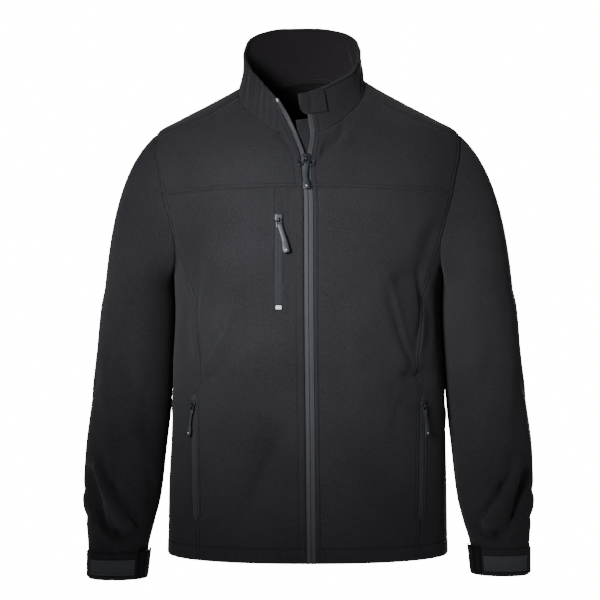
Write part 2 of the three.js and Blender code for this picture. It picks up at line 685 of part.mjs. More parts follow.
/** One sleeve section below the armpit: a point at a turn from its outer side. */
function sleevePoint(side, z, turn, offset = 0) {
  const outerX = side > 0 ? sleeve.outerLeft(z) : sleeve.outerRight(z);
  const innerX = side > 0 ? sleeve.innerLeft(z) : sleeve.innerRight(z);
  const power = 2 / SLEEVE_POWER;
  const across = signedPower(Math.cos(turn), power);
  const deep = signedPower(Math.sin(turn), power);
  const away = (outerX + innerX) / 2 + (outerX - innerX) / 2 * across;
  const face = Math.sin(turn) > 0 ? -1 : 1;
  const fade = Math.min(1, Math.abs(deep) * 1.6);
  const height = foldHeight(SLEEVE_FOLDS, face, away, z) * fade + offset;
  const push = new THREE.Vector2(across, -deep).normalize().multiplyScalar(height);
  return new THREE.Vector3(
    side * (away + push.x),
    sleeve.y(z) - sleeve.half(z) * deep + push.y,
    z,
  );
}

/** Outward directions of a grid of points, from its neighbours. */
function gridNormals(grid, ring, outside) {
  const rows = grid.length;
  const cols = grid[0].length;
  const pick = (j, i) => grid[clamp(j, 0, rows - 1)][ring ? (i + cols) % cols : clamp(i, 0, cols - 1)];
  return grid.map((row, j) => row.map((p, i) => {
    const u = new THREE.Vector3().subVectors(pick(j, i + 1), pick(j, i - 1));
    const v = new THREE.Vector3().subVectors(pick(j + 1, i), pick(j - 1, i));
    return new THREE.Vector3().crossVectors(u, v).multiplyScalar(outside).normalize();
  }));
}

/** Turns round the armhole shared by the panels and the sleeve. */
function armholeTurns() {
  const span = (from, to, count) => shares(count).slice(0, -1).map((t) => lerp(from, to, t));
  return [
    ...span(TURN.shoulder, TURN.yoke, COUNT.throat + COUNT.yoke),
    ...span(TURN.yoke, TURN.princess, COUNT.front),
    ...span(TURN.princess, TURN.backSeam, COUNT.side),
    ...span(TURN.backSeam, TURN.full + TURN.shoulder, COUNT.back),
  ];
}

/** A sleeve's outer points: the cap swings from the armhole down to the upper arm. */
function sleeveGrid(side) {
  const turns = armholeTurns();
  const start = turns.map((turn) => bodyPoint(armholePlaces(side, turn, turn + 1, 1)[0]));
  const cap = shares(COUNT.cap).slice(1).map((t) => turns.map((turn, i) => {
    const angle = radians(turn);
    const below = (1 - Math.cos(angle)) / 2;
    const target = sleevePoint(side, SLEEVE_TOP_Z, angle);
    const reach = start[i].distanceTo(target);
    const leave = new THREE.Vector3(side * lerp(CAP.outAbove, CAP.outBelow, below ** 2), 0,
      lerp(CAP.downAbove, CAP.downBelow, below))
      .normalize().multiplyScalar(reach * lerp(CAP.near, CAP.far, below));
    const arrive = new THREE.Vector3(-side * CAP.lean * (1 - below), 0, 1)
      .multiplyScalar(reach * CAP.arrive);
    const curve = new THREE.CubicBezierCurve3(
      start[i], start[i].clone().add(leave), target.clone().add(arrive), target);
    return curve.getPoint(t);
  }));
  const end = side > 0 ? CUFF_Z.left : CUFF_Z.right;
  const arm = [...ARM_ROWS, end].map((z) => (
    turns.map((turn) => sleevePoint(side, z, radians(turn)))));
  return [start, ...cap, ...arm];
}

/** A sleeve's wall; its first ring lies against the body panels' rims. */
function sleeveMesh(name, side) {
  const grid = sleeveGrid(side);
  const normals = gridNormals(grid, true, side);
  normals[0] = grid[0].map((p, i) => bodyNormal(p).lerp(normals[0][i], SEAM_KEEP.sleeve).normalize());
  const away = grid[0].map((p, i) => {
    const step = new THREE.Vector3().subVectors(grid[1][i], p);
    const normal = bodyNormal(p);
    return step.addScaledVector(normal, -step.dot(normal)).normalize();
  });
  const outer = grid.map((row, j) => row.map((p, i) => (
    j === 0 ? onBody(p).addScaledVector(away[i], SEAM_GAP) : p)));
  const inner = outer.map((row, j) => row.map((p, i) => (
    p.clone().addScaledVector(normals[j][i], -CLOTH))));
  return node(name, wall(outer, inner, true), COLOUR.cloth);
}

/** Points of the whole neck seam, from the right front edge round the back to the left. */
function neckSeam() {
  const right = throatPlaces(-1).map(bodyPoint);
  const left = throatPlaces(1).map(bodyPoint).reverse();
  return [...right, ...napePoints().slice(1, -1), ...left];
}

/** The collar's outer points, from the neck seam to its top edge. */
function collarGrid() {
  const seam = neckSeam();
  const length = [0];
  seam.slice(1).forEach((p, i) => length.push(length[i] + p.distanceTo(seam[i])));
  const total = length.at(-1);
  return shares(COUNT.collar).map((v) => seam.map((p, i) => {
    const share = length[i] / total;
    const top = new THREE.Vector3(collarTop.x(share), collarTop.y(share), collarTop.z(share));
    const out = new THREE.Vector3(p.x - NECK.x, p.y - NECK.y, 0).normalize();
    const bend = p.clone().lerp(top, COLLAR_BEND.share).addScaledVector(out, -COLLAR_BEND.drawnIn);
    return new THREE.QuadraticBezierCurve3(p, bend, top).getPoint(v);
  }));
}

/** A layer of the collar, inside another by an offset. */
function collarLayer(name, grid, offset, thick, colour) {
  const normals = gridNormals(grid, false, -1);
  const seamNormals = grid[0].map((p, i) => (
    bodyNormal(p).lerp(normals[0][i], SEAM_KEEP.collar).normalize()));
  const lifted = grid.map((row, j) => row.map((p, i) => {
    if (j > 0) return p;
    const up = new THREE.Vector3().subVectors(grid[1][i], p).normalize();
    return p.clone().addScaledVector(up, COLLAR_LIFT);
  }));
  const rim = insetRim(lifted, SEAM_GAP / 2);
  const layer = (depth) => rim.map((row, j) => row.map((p, i) => (
    p.clone().addScaledVector(j === 0 ? seamNormals[i] : normals[j][i], -depth))));
  return node(name, wall(layer(offset), layer(offset + thick)), colour);
}

/** A strip laid along a path of edge points: a grid of distances across and depths. */
function strip(path, rows) {
  return path.map(({ point, across, out }) => rows.map(([distance, depth]) => (
    point.clone().addScaledVector(across, distance).addScaledVector(out, depth))));
}

/** Points up a front edge and the collar's end, with directions across and out. */
function edgePath(side, collarPoints) {
  const throat = throatPlaces(side)[0];
  const yoke = edgePlaces(side, YOKE_FRONT_Z, throat.z, COUNT.throat);
  const lower = [...lowerEdge(side), ...yoke.slice(1, -1)].map((place) => onBody(place));
  const upper = collarPoints.slice(1).map((row) => (side > 0 ? row.at(-1) : row[0]));
  const near = collarPoints.slice(1).map((row) => (side > 0 ? row.at(-2) : row[1]));
  const points = [...lower, ...upper];
  return points.map((point, j) => {
    const before = points[Math.max(j - 1, 0)];
    const after = points[Math.min(j + 1, points.length - 1)];
    const up = new THREE.Vector3().subVectors(after, before).normalize();
    const k = j - lower.length;
    const inward = k < 0
      ? new THREE.Vector3().crossVectors(up, bodyNormal(point)).multiplyScalar(-side)
      : new THREE.Vector3().subVectors(point, near[k]);
    const across = inward.addScaledVector(up, -inward.dot(up)).normalize();
    const out = new THREE.Vector3().crossVectors(across, up).multiplyScalar(-side).normalize();
    return { point, across, out, up };
  });
}

/** Half of the main zip: a tape beside a front edge, thicker over its coil. */
function zipHalf(name, path) {
  const start = SEAM_GAP * 1.5;
  const end = ZIP.half - SEAM_GAP / 2;
  const bend = lerp(start, end, 0.5);
  const outer = [[start, -ZIP.recess], [bend, -ZIP.recess], [end, -ZIP.recess / 2]];
  const back = -ZIP.recess - TAPE;
  const inner = [[start, back], [bend, back], [end, back - ZIP.coil]];
  return node(name, wall(strip(path, outer), strip(path, inner)), COLOUR.tape);
}

/** The flap sewn behind the left front edge, reaching past the zip. */
function stormFlap(name, path) {
  const rows = path.slice(0, path.length - COUNT.collar + FLAP.collarRows);
  const depthAt = (j) => lerp(FLAP.low, FLAP.high,
    smoothstep(rows[j].point.z, FLAP.from, FLAP.to));
  const layer = (extra) => rows.map(({ point, across, out }, j) => (
    shares(3).map((t) => point.clone()
      .addScaledVector(across, lerp(FLAP.sewn, FLAP.free, t))
      .addScaledVector(out, -depthAt(j) - extra))));
  return node(name, wall(layer(0), layer(LINING)), COLOUR.cloth);
}

/** The path's frame at a share of the collar's height. */
function collarFrame(path, share) {
  const place = path.length - 1 - (1 - share) * COUNT.collar;
  const low = path[Math.floor(place)];
  const high = path[Math.min(Math.floor(place) + 1, path.length - 1)];
  const t = place - Math.floor(place);
  const mix = (name) => low[name].clone().lerp(high[name], t);
  return { point: mix('point'), across: mix('across').normalize(), out: mix('out').normalize() };
}

/** The chin guard: a leaf on the collar, folded round the zip's end to the inside. */
function chinGuard(name, path) {
  const frames = GUARD.rows.map((share) => collarFrame(path, share));
  const middle = (GUARD.out - GUARD.inside) / 2;
  const section = (extra) => {
    const radius = (GUARD.out + GUARD.inside) / 2 + extra;
    const bend = shares(6).map((t) => {
      const turn = radians(90 - 180 * t);
      return [GUARD.fold + radius * Math.cos(turn), middle + radius * Math.sin(turn)];
    });
    const front = shares(4).slice(0, -1).map((t) => (
      [lerp(GUARD.sewn, GUARD.fold, t), GUARD.out + extra + GUARD.lift * (1 - t) ** 2]));
    return [...front, ...bend, [GUARD.back, -GUARD.inside - extra]];
  };
  return node(name, wall(strip(frames, section(GUARD.cloth)), strip(frames, section(0))), COLOUR.cloth);
}

/** The block that ends the right half of the zip at the collar's top. */
function topStop(name, path) {
  const { point, across, out, up } = path.at(-1);
  const shape = new THREE.BoxGeometry(TOP_STOP.width, TOP_STOP.height, TOP_STOP.thick);
  const centre = point.clone()
    .addScaledVector(across, ZIP.half - TOP_STOP.width / 2)
    .addScaledVector(up, -TOP_STOP.height / 2)
    .addScaledVector(out, LAYER_GAP + TOP_STOP.thick / 2);
  shape.applyMatrix4(new THREE.Matrix4().makeBasis(across, up, out));
  shape.translate(centre.x, centre.y, centre.z);
  return node(name, shape, COLOUR.metal, { roughness: 0.4, metalness: 0.6 });
}

/** The tape that covers the back neck seam on the inside. */
function neckTape(name, backGrid) {
  const from = COUNT.across + 1;
  const seam = backGrid.at(-1).slice(from, from + COUNT.nape - 1);
  const below = backGrid.at(-2).slice(from, from + COUNT.nape - 1);
  const layer = (depth) => [NECK_TAPE.start, NECK_TAPE.width].map((distance) => (
    seam.map((p, i) => {
      const t = distance / p.distanceTo(below[i]);
      const normal = bodyNormal(p).lerp(bodyNormal(below[i]), t).normalize();
      return p.clone().lerp(below[i], t).addScaledVector(normal, -depth);
    })));
  const top = CLOTH + NECK_TAPE.depth;
  return node(name, wall(layer(top), layer(top + NECK_TAPE.thick)), COLOUR.tape);
}

/** A tape on or in the front: rows of heights, a centre line, and how far out it lies. */
function tapeOn(name, heights, centre, half, offset, thick, colour) {
  const layer = (out) => heights.map((z) => [-half, 0, half].map((step) => (
    onBody({ bearing: frontBearing(centre(z) + step, z), z }, out))));
  return node(name, wall(layer(offset + thick), layer(offset)), colour);
}

/** A piece of a cuff, bent round the sleeve over a range of heights and turns. */
function cuffPiece(name, side, sizes, count, colour) {
  const end = side > 0 ? CUFF_Z.left : CUFF_Z.right;
  const layer = (offset) => shares(2).map((v) => shares(count).map((u) => (
    sleevePoint(side, end + lerp(sizes.low, sizes.high, v),
      radians(lerp(sizes.from, sizes.to, u)), offset))));
  return node(name, wall(layer(sizes.offset + sizes.thick), layer(sizes.offset)), colour);
}

/** A solid for joining and cutting, made from a closed geometry. */
function solidOf(geometry) {
  const bare = geometry.clone();
  bare.deleteAttribute('normal');
  bare.deleteAttribute('uv');
  const merged = BufferGeometryUtils.mergeVertices(bare, 1e-4);
  return new wasm.Manifold(new wasm.Mesh({
    numProp: 3,
    vertProperties: new Float32Array(merged.attributes.position.array),
    triVerts: new Uint32Array(merged.index.array),
  }));
}

/** Joins closed geometries into one. */
function joined(geometries) {
  const mesh = geometries.map(solidOf).reduce((sum, solid) => sum.add(solid)).getMesh();
  const geometry = new THREE.BufferGeometry();
  geometry.setAttribute('position', new THREE.BufferAttribute(mesh.vertProperties, 3));
  geometry.setIndex(new THREE.BufferAttribute(mesh.triVerts, 1));
  return geometry;
}

/** A flat outline, given as pairs across and up, made thick outwards from a height. */
function slab(outline, bottom, thick) {
  const shape = new THREE.Shape(outline.map(([x, y]) => new THREE.Vector2(x, y)));
  const geometry = new THREE.ExtrudeGeometry(shape, { depth: thick, bevelEnabled: false });
  return geometry.translate(0, 0, bottom);
}

/** A box between two corners in a fastening's own frame. */
function block(x0, x1, y0, y1, z0, z1) {
  const geometry = new THREE.BoxGeometry(x1 - x0, y1 - y0, z1 - z0);
  return geometry.translate((x0 + x1) / 2, (y0 + y1) / 2, (z0 + z1) / 2);
}

/** A slider in its own frame: x across, y up the zip, z out from the cloth. */
function sliderGeometry({ crown, foot, length, wing }) {
  const top = length / 2;
  const low = -length / 2;
  const plateTop = PLATE.gap + PLATE.thick;
  const outline = [
    [-foot, low], [foot, low], [foot, low * 0.2], [crown, top * 0.3], [crown, top * 0.8],
    [crown * 0.6, top], [-crown * 0.6, top], [-crown, top * 0.8], [-crown, top * 0.3],
    [-foot, low * 0.2],
  ];
  const reach = BRIDGE.hole + BRIDGE.leg;
  const roof = plateTop + BRIDGE.clear;
  const sink = 0.4;
  const parts = [
    slab(outline, PLATE.gap, PLATE.thick),
    block(-BRIDGE.half, BRIDGE.half, BRIDGE.hole, reach, plateTop - sink, roof + BRIDGE.roof),
    block(-BRIDGE.half, BRIDGE.half, -reach, -BRIDGE.hole, plateTop - sink, roof + BRIDGE.roof),
    block(-BRIDGE.half, BRIDGE.half, -reach, reach, roof, roof + BRIDGE.roof),
  ];
  if (wing > 0) {
    for (const way of [-1, 1]) {
      const ring = new THREE.TorusGeometry(wing - crown - 2, 1, 6, 12);
      parts.push(ring.translate(way * (crown + 2.2), low * 0.62, PLATE.gap + 1.1));
    }
    parts.push(block(-crown - 0.6, crown + 0.6, low * 0.7, low * 0.5, PLATE.gap, plateTop));
  }
  return joined(parts);
}

/** A pull tab in its own frame: the bar's axis is x and the tab hangs down y. */
function pullGeometry({ neck, end, length }) {
  const bar = new THREE.CylinderGeometry(BAR.radius, BAR.radius, 2 * BAR.outer, 10);
  bar.rotateZ(Math.PI / 2);
  const shoulder = BAR.start + 3;
  const outline = [
    [-BAR.outer, -BAR.start], [-BAR.outer, -shoulder + 1], [-neck, -shoulder - 6],
    [-neck, -length * 0.55], [-end, -length * 0.8], [-end, -length + 2.5],
    [-end + 2, -length], [end - 2, -length], [end, -length + 2.5], [end, -length * 0.8],
    [neck, -length * 0.55], [neck, -shoulder - 6], [BAR.outer, -shoulder + 1],
    [BAR.outer, -BAR.start],
  ];
  const arm = (way) => block(
    Math.min(way * BAR.inner, way * BAR.outer), Math.max(way * BAR.inner, way * BAR.outer),
    -BAR.start - 0.5, BAR.radius, -BAR.radius, BAR.radius,
  );
  return joined([bar, arm(-1), arm(1), slab(outline, -BAR.thick, 2 * BAR.thick)]);
}

/** The frame of a fastening on the front: across, up and out at a place. */
function fasteningFrame(x, z) {
  const at = (height) => onBody({ bearing: frontBearing(x, height), z: height });
  const point = at(z);
  const up = new THREE.Vector3().subVectors(at(z + 6), at(z - 6)).normalize();
  const out = bodyNormal(point);
  out.addScaledVector(up, -out.dot(up)).normalize();
  const across = new THREE.Vector3().crossVectors(up, out).normalize();
  return { point, basis: new THREE.Matrix4().makeBasis(across, up, out) };
}

/** A slider and the pull tab through its bridge, as two nodes at one place. */
function fastening(sliderName, pullName, x, z, slider, pull, lift = 0) {
  const { point, basis } = fasteningFrame(x, z);
  point.add(new THREE.Vector3(0, 0, lift).applyMatrix4(basis));
  const body = node(sliderName, sliderGeometry(slider), COLOUR.dark, { roughness: 0.45 });
  body.applyMatrix4(basis);
  body.position.copy(point);
  const turn = new THREE.Matrix4().makeRotationZ(radians(pull.tilt))
    .multiply(new THREE.Matrix4().makeRotationX(radians(-pull.lean)));
  const tab = node(pullName, pullGeometry(pull), COLOUR.pull, { roughness: 0.5 });
  tab.applyMatrix4(basis.clone().multiply(turn));
  const height = PLATE.gap + PLATE.thick + BRIDGE.clear / 2;
  tab.position.copy(new THREE.Vector3(0, 0, height).applyMatrix4(basis).add(point));
  return [body, tab];
}

const group = new THREE.Group();

const SIDES = [{ word: 'right', side: -1 }, { word: 'left', side: 1 }];

for (const { word, side } of SIDES) {
  group.add(frontPanel(`front_${word}`, side));
  group.add(yokePanel(`yoke_${word}`, side));
  group.add(sidePanel(`side_panel_${word}`, side));
  group.add(sleeveMesh(`sleeve_${word}`, side));
}
const backGrid = backPoints();
group.add(panel('back', backGrid));
const collar = collarGrid();
group.add(collarLayer('collar_outer', collar, 0, CLOTH, COLOUR.cloth));
group.add(collarLayer('collar_lining', collar, CLOTH + SEAM_GAP, LINING, COLOUR.lining));
group.add(neckTape('neck_tape', backGrid));

const rightPath = edgePath(-1, collar);
const leftPath = edgePath(1, collar);
group.add(zipHalf('zip_right', rightPath));
group.add(zipHalf('zip_left', leftPath));
group.add(topStop('top_stop', rightPath));
group.add(stormFlap('storm_flap', leftPath));
group.add(chinGuard('chin_guard', leftPath));

const zipMiddle = (z) => (frontEdge.right(z) + frontEdge.left(z)) / 2;
group.add(...fastening('main_slider', 'main_pull', zipMiddle(MAIN_SLIDER_Z), MAIN_SLIDER_Z,
  SLIDER.main, PULL.main));

const chestHeights = shares(8).map((t) => lerp(CHEST.bottom, CHEST.top, t));
const chestLine = () => CHEST.x;
const stopHeights = [CHEST.bottom + 1, CHEST.bottom + 1 + CHEST.stop];
group.add(tapeOn('chest_zip', chestHeights, chestLine, CHEST.width / 2, LAYER_GAP, TAPE, COLOUR.tape));
group.add(tapeOn('chest_stop', stopHeights, chestLine, CHEST.width / 2 - 1,
  TAPE + 2 * LAYER_GAP, 1, COLOUR.metal));
group.add(...fastening('chest_slider', 'chest_pull', CHEST.x, CHEST.sliderZ,
  SLIDER.chest, PULL.chest, LAYER_GAP + TAPE));

const pocketHeights = SEAM_ROWS.filter((z) => z > POCKET.bottom && z < POCKET.top);
for (const { word, side } of SIDES) {
  const line = (z) => side * sideSeams.front(z);
  group.add(tapeOn(`pocket_zip_${word}`, pocketHeights, line, POCKET.tape / 2,
    -ZIP.recess - TAPE, TAPE, COLOUR.tape));
  group.add(...fastening(`pocket_slider_${word}`, `pocket_pull_${word}`, line(POCKET.sliderZ),
    POCKET.sliderZ, SLIDER.pocket, side > 0 ? PULL.pocketLeft : PULL.pocketRight));
  group.add(cuffPiece(`cuff_strap_${word}`, side, CUFF.strap, COUNT.strap, COLOUR.cloth));
  group.add(cuffPiece(`cuff_patch_${word}`, side, CUFF.patch, COUNT.patch, COLOUR.patch));
  group.add(cuffPiece(`cuff_loop_${word}`, side, CUFF.loop, COUNT.loop, COLOUR.dark));
}

export default group;
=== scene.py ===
"""Softshell jacket, filled out as it is worn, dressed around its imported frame.

Sizes are millimetres in the tables and in the work on the surfaces, and metres in the
meshes. The front faces -Y and the wearer's left arm is at +X. A place on the body surface
is a bearing, 0 at the centre front and 90 degrees at the wearer's left side, and a height.
"""
from __future__ import annotations

import logging
import math
from dataclasses import dataclass
from enum import Enum
from typing import Callable, Sequence

import bmesh
import bpy
import numpy as np
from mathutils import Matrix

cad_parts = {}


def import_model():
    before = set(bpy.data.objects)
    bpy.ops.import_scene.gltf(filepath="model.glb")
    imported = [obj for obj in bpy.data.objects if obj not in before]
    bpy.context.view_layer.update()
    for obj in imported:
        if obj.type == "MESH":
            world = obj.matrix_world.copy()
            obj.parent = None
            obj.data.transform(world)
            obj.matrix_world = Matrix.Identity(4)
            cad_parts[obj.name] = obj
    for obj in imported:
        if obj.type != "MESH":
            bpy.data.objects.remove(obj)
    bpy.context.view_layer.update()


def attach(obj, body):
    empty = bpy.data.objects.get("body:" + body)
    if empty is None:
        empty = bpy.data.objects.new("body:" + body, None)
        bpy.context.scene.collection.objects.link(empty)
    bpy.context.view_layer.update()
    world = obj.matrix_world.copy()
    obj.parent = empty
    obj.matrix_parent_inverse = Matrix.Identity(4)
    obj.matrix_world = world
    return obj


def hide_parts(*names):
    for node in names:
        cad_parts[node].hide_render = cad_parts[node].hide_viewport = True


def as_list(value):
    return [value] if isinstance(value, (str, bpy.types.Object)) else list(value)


Array = np.ndarray
Pair = tuple[float, float]
Triple = tuple[float, float, float]
Table = tuple[tuple[float, ...], ...]
Material = bpy.types.Material
Object = bpy.types.Object
Tree = bpy.types.NodeTree
Node = bpy.types.Node
Socket = bpy.types.NodeSocket
LOG = logging.getLogger("jacket")

# Thicknesses and gaps
CLOTH = 2.0
LINING = 1.4
TAPE = 1.2
SEAM_GAP = 0.3
LAYER_GAP = 0.4

# Heights of the main lines
HEM_Z = -703.0
YOKE_FRONT_Z = -149.0
SLEEVE_TOP_Z = -300.0

# Millimetres in a metre
METRE = 1000.0

# Creases: the fade of a stroke with blunt ends, the share of the height that the other ones
# keep at their ends, and how far the cloth has to face a side to show the creases seen there
NO_FADE = 0.0001
END_HEIGHT = 0.35
FACED_FROM, FACED_FULL = 0.05, 0.35

# Topstitching: distances from the seams that it follows
HEM_STITCH = 22.0
YOKE_STITCH = 6.0
SIDE_STITCH = 5.0
POCKET_STITCH = 4.6
BACK_STITCH = 5.5

# The chest pocket's zip and its slider
CHEST_X = -43.0
CHEST_SLIDER_Z = -199.0


class Side(Enum):
    """The two sides of the wearer, with the sign of their X."""

    RIGHT = -1
    LEFT = 1

    @property
    def word(self) -> str:
        """The side's word in the names of nodes."""
        return self.name.lower()


class Facing(Enum):
    """Which way a crease is looked at: its flat axis and the sign of that direction."""

    FRONT = (1, -1)
    BACK = (1, 1)
    RIGHT = (0, -1)
    LEFT = (0, 1)


# Small helpers for arrays

def unit(vectors: Array) -> Array:
    """Vectors divided by their lengths."""
    return vectors / np.maximum(np.linalg.norm(vectors, axis=-1, keepdims=True), 1e-9)


def ramp(value: Array, low: float, high: float) -> Array:
    """A soft step, 3t^2 - 2t^3, that rises from 0 at low to 1 at high."""
    t = np.clip((value - low) / (high - low), 0.0, 1.0)
    return t * t * (3.0 - 2.0 * t)


def bell(value: Array, width: float) -> Array:
    """exp(-(value / width)^2), a soft bump of height 1."""
    return np.exp(-(value / width) ** 2)


def signed_power(value: Array, power: Array) -> Array:
    """The size of a value raised to a power, with the value's own sign."""
    return np.sign(value) * np.abs(value) ** power


def mixed(start: Array, end: Array, share: Array) -> Array:
    """start + (end - start) * share."""
    return start + (end - start) * share


def graded(length: float, bands: Sequence[Pair], coarse: float = 4.2,
           fine: float = 0.75) -> Array:
    """Shares from 0 to 1 that lie close together in some bands.

    The density of lines is 1 / coarse everywhere and 1 / fine near each band's middle;
    its running sum is turned round to give the places of equally many lines.

    Args:
        length: the side's length in millimetres.
        bands: middle and half width of each band, in millimetres from the start.
        coarse: spacing away from the bands.
        fine: spacing in them.

    Returns:
        The shares, from 0 to 1.
    """
    place = np.linspace(0.0, length, 2000)
    density = np.full_like(place, 1.0 / coarse)
    for middle, half in bands:
        density += np.clip(1.0 / fine - density, 0, None) * bell(place - middle, half)
    total = np.concatenate([[0.0], np.cumsum((density[1:] + density[:-1]) / 2 * np.diff(place))])
    count = int(round(total[-1]))
    return np.interp(np.linspace(0, total[-1], count + 1), total, place) / length


def full_turn(count: int) -> Array:
    """Angles at equal steps round a circle, in radians."""
    return np.linspace(0, 2 * math.pi, count, endpoint=False)


def sampled(place: Array, at: Array, rows: Array) -> Array:
    """Rows of three numbers read at some places, linearly between the places that they have."""
    return np.stack([np.interp(place, at, rows[:, k]) for k in range(3)], axis=-1)


def halved(inside: Callable[[Array], Array], low: Array, high: Array, steps: int) -> tuple[Array, Array]:
    """Closes in on the place where a test stops being true, by halving the span.

    Args:
        inside: the test, true towards the low end.
        low: starts of the spans.
        high: ends of the spans.
        steps: how often a span is halved.

    Returns:
        Both ends of the last spans.
    """
    for _ in range(steps):
        middle = (low + high) / 2
        held = inside(middle)
        low, high = np.where(held, middle, low), np.where(held, high, middle)
    return low, high


def run_along(points: Array, axis: int, ring: bool = False) -> Array:
    """The running length of a grid of points along one axis, from 0 at its first line."""
    if ring:
        points = np.concatenate([points, points[:, :1]], axis=1)
    steps = np.linalg.norm(np.diff(points, axis=axis), axis=-1)
    start = np.zeros_like(np.take(steps, [0], axis=axis))
    return np.concatenate([start, np.cumsum(steps, axis=axis)], axis=axis)


class Column:
    """A smooth curve through the rows of a table that never overshoots them.

    Between rows it is a cubic. Its slope at a row is the weighted harmonic mean of the
    slopes on both sides, or 0 at a turning point.
    """

    def __init__(self, at: Sequence[float], value: Sequence[float]) -> None:
        """Takes the rows' places and values in any order."""
        order = np.argsort(at)
        self.at = np.asarray(at, float)[order]
        self.value = np.asarray(value, float)[order]
        self.step = np.diff(self.at)
        rise = np.diff(self.value) / self.step
        same = rise[:-1] * rise[1:] > 0
        before = 2 * self.step[1:] + self.step[:-1]
        after = self.step[1:] + 2 * self.step[:-1]
        left = np.where(same, rise[:-1], 1.0)
        right = np.where(same, rise[1:], 1.0)
        middle = np.where(same, (before + after) / (before / left + after / right), 0.0)
        self.slope = np.concatenate([rise[:1], middle, rise[-1:]])

    def __call__(self, place: Array) -> Array:
        """The curve's values at some places, held at the first and last row beyond them."""
        here = np.clip(place, self.at[0], self.at[-1])
        i = np.clip(np.searchsorted(self.at, here, side="right") - 1, 0, len(self.step) - 1)
        t = (here - self.at[i]) / self.step[i]
        u = 1.0 - t
        return (self.value[i] * (1 + 2 * t) * u * u + self.value[i + 1] * t * t * (3 - 2 * t)
                + self.step[i] * t * u * (self.slope[i] * u - self.slope[i + 1] * t))


def columns(rows: Sequence[Sequence[float]]) -> list[Column]:
    """The columns of a table after its first one, each along the first."""
    table = np.asarray(rows, float)
    return [Column(table[:, 0], table[:, k]) for k in range(1, table.shape[1])]


@dataclass(frozen=True)
class Crease:
    """A soft trough or ridge along a bent line, seen from one side of the jacket.

    Its height is height * exp(-(d / w)^2), where d is the distance from the line and w is
    one width on the line's left and another on its right; it fades out at both ends.
    """

    facing: Facing
    path: tuple[Pair, ...]
    left: float
    right: float
    height: float
    fade: float = 0.25

    def at(self, points: Array, normals: Array) -> Array:
        """The crease's height at some points of a surface.

        Args:
            points: the points, in millimetres.
            normals: the surface's outward directions there.

        Returns:
            Heights in millimetres.
        """
        axis, way = self.facing.value
        place = points[..., [1 - axis, 2]]
        line = np.asarray(self.path, float)
        length = run_along(line, 0)
        best = np.full(place.shape[:-1], np.inf)
        turn = np.zeros_like(best)
        share = np.zeros_like(best)
        for k, (start, end) in enumerate(zip(line[:-1], line[1:])):
            step = end - start
            away = place - start
            t = np.clip((away @ step) / (step @ step), 0, 1)
            off = away - t[..., None] * step
            distance = np.linalg.norm(off, axis=-1)
            nearer = distance < best
            cross = step[0] * off[..., 1] - step[1] * off[..., 0]
            turn = np.where(nearer, np.sign(cross), turn)
            share = np.where(nearer, (length[k] + t * (length[k + 1] - length[k])) / length[-1], share)
            best = np.where(nearer, distance, best)
        width = np.where(turn > 0, self.left, self.right)
        ends = ramp(share, -0.02, self.fade) * ramp(1 - share, -0.02, self.fade)
        faced = ramp(way * normals[..., axis], FACED_FROM, FACED_FULL)
        return self.height * bell(best, width) * mixed(END_HEIGHT, 1.0, ends) * faced


def relief_of(creases: Sequence[Crease], points: Array, normals: Array) -> Array:
    """The sum of some creases' heights at some points."""
    total = np.zeros(points.shape[:-1])
    for crease in creases:
        total += crease.at(points, normals)
    return total


def folds(facing: Facing, *rows: Sequence[float]) -> list[Crease]:
    """Wide folds of the solids: straight strokes of one width that don't fade at their ends.

    A row gives the two ends of the stroke, its width and its height.
    """
    return [Crease(facing, ((x0, z0), (x1, z1)), width, width, height, fade=NO_FADE)
            for x0, z0, x1, z1, width, height in rows]


def strokes(facing: Facing, *rows: Sequence[float]) -> list[Crease]:
    """Creases along bent lines.

    A row gives the line's points in turn, the widths on its left and right, and a height.
    """
    return [Crease(facing, tuple(zip(row[:-3:2], row[1:-3:2])), *row[-3:]) for row in rows]


FRONT, BACK = Facing.FRONT, Facing.BACK

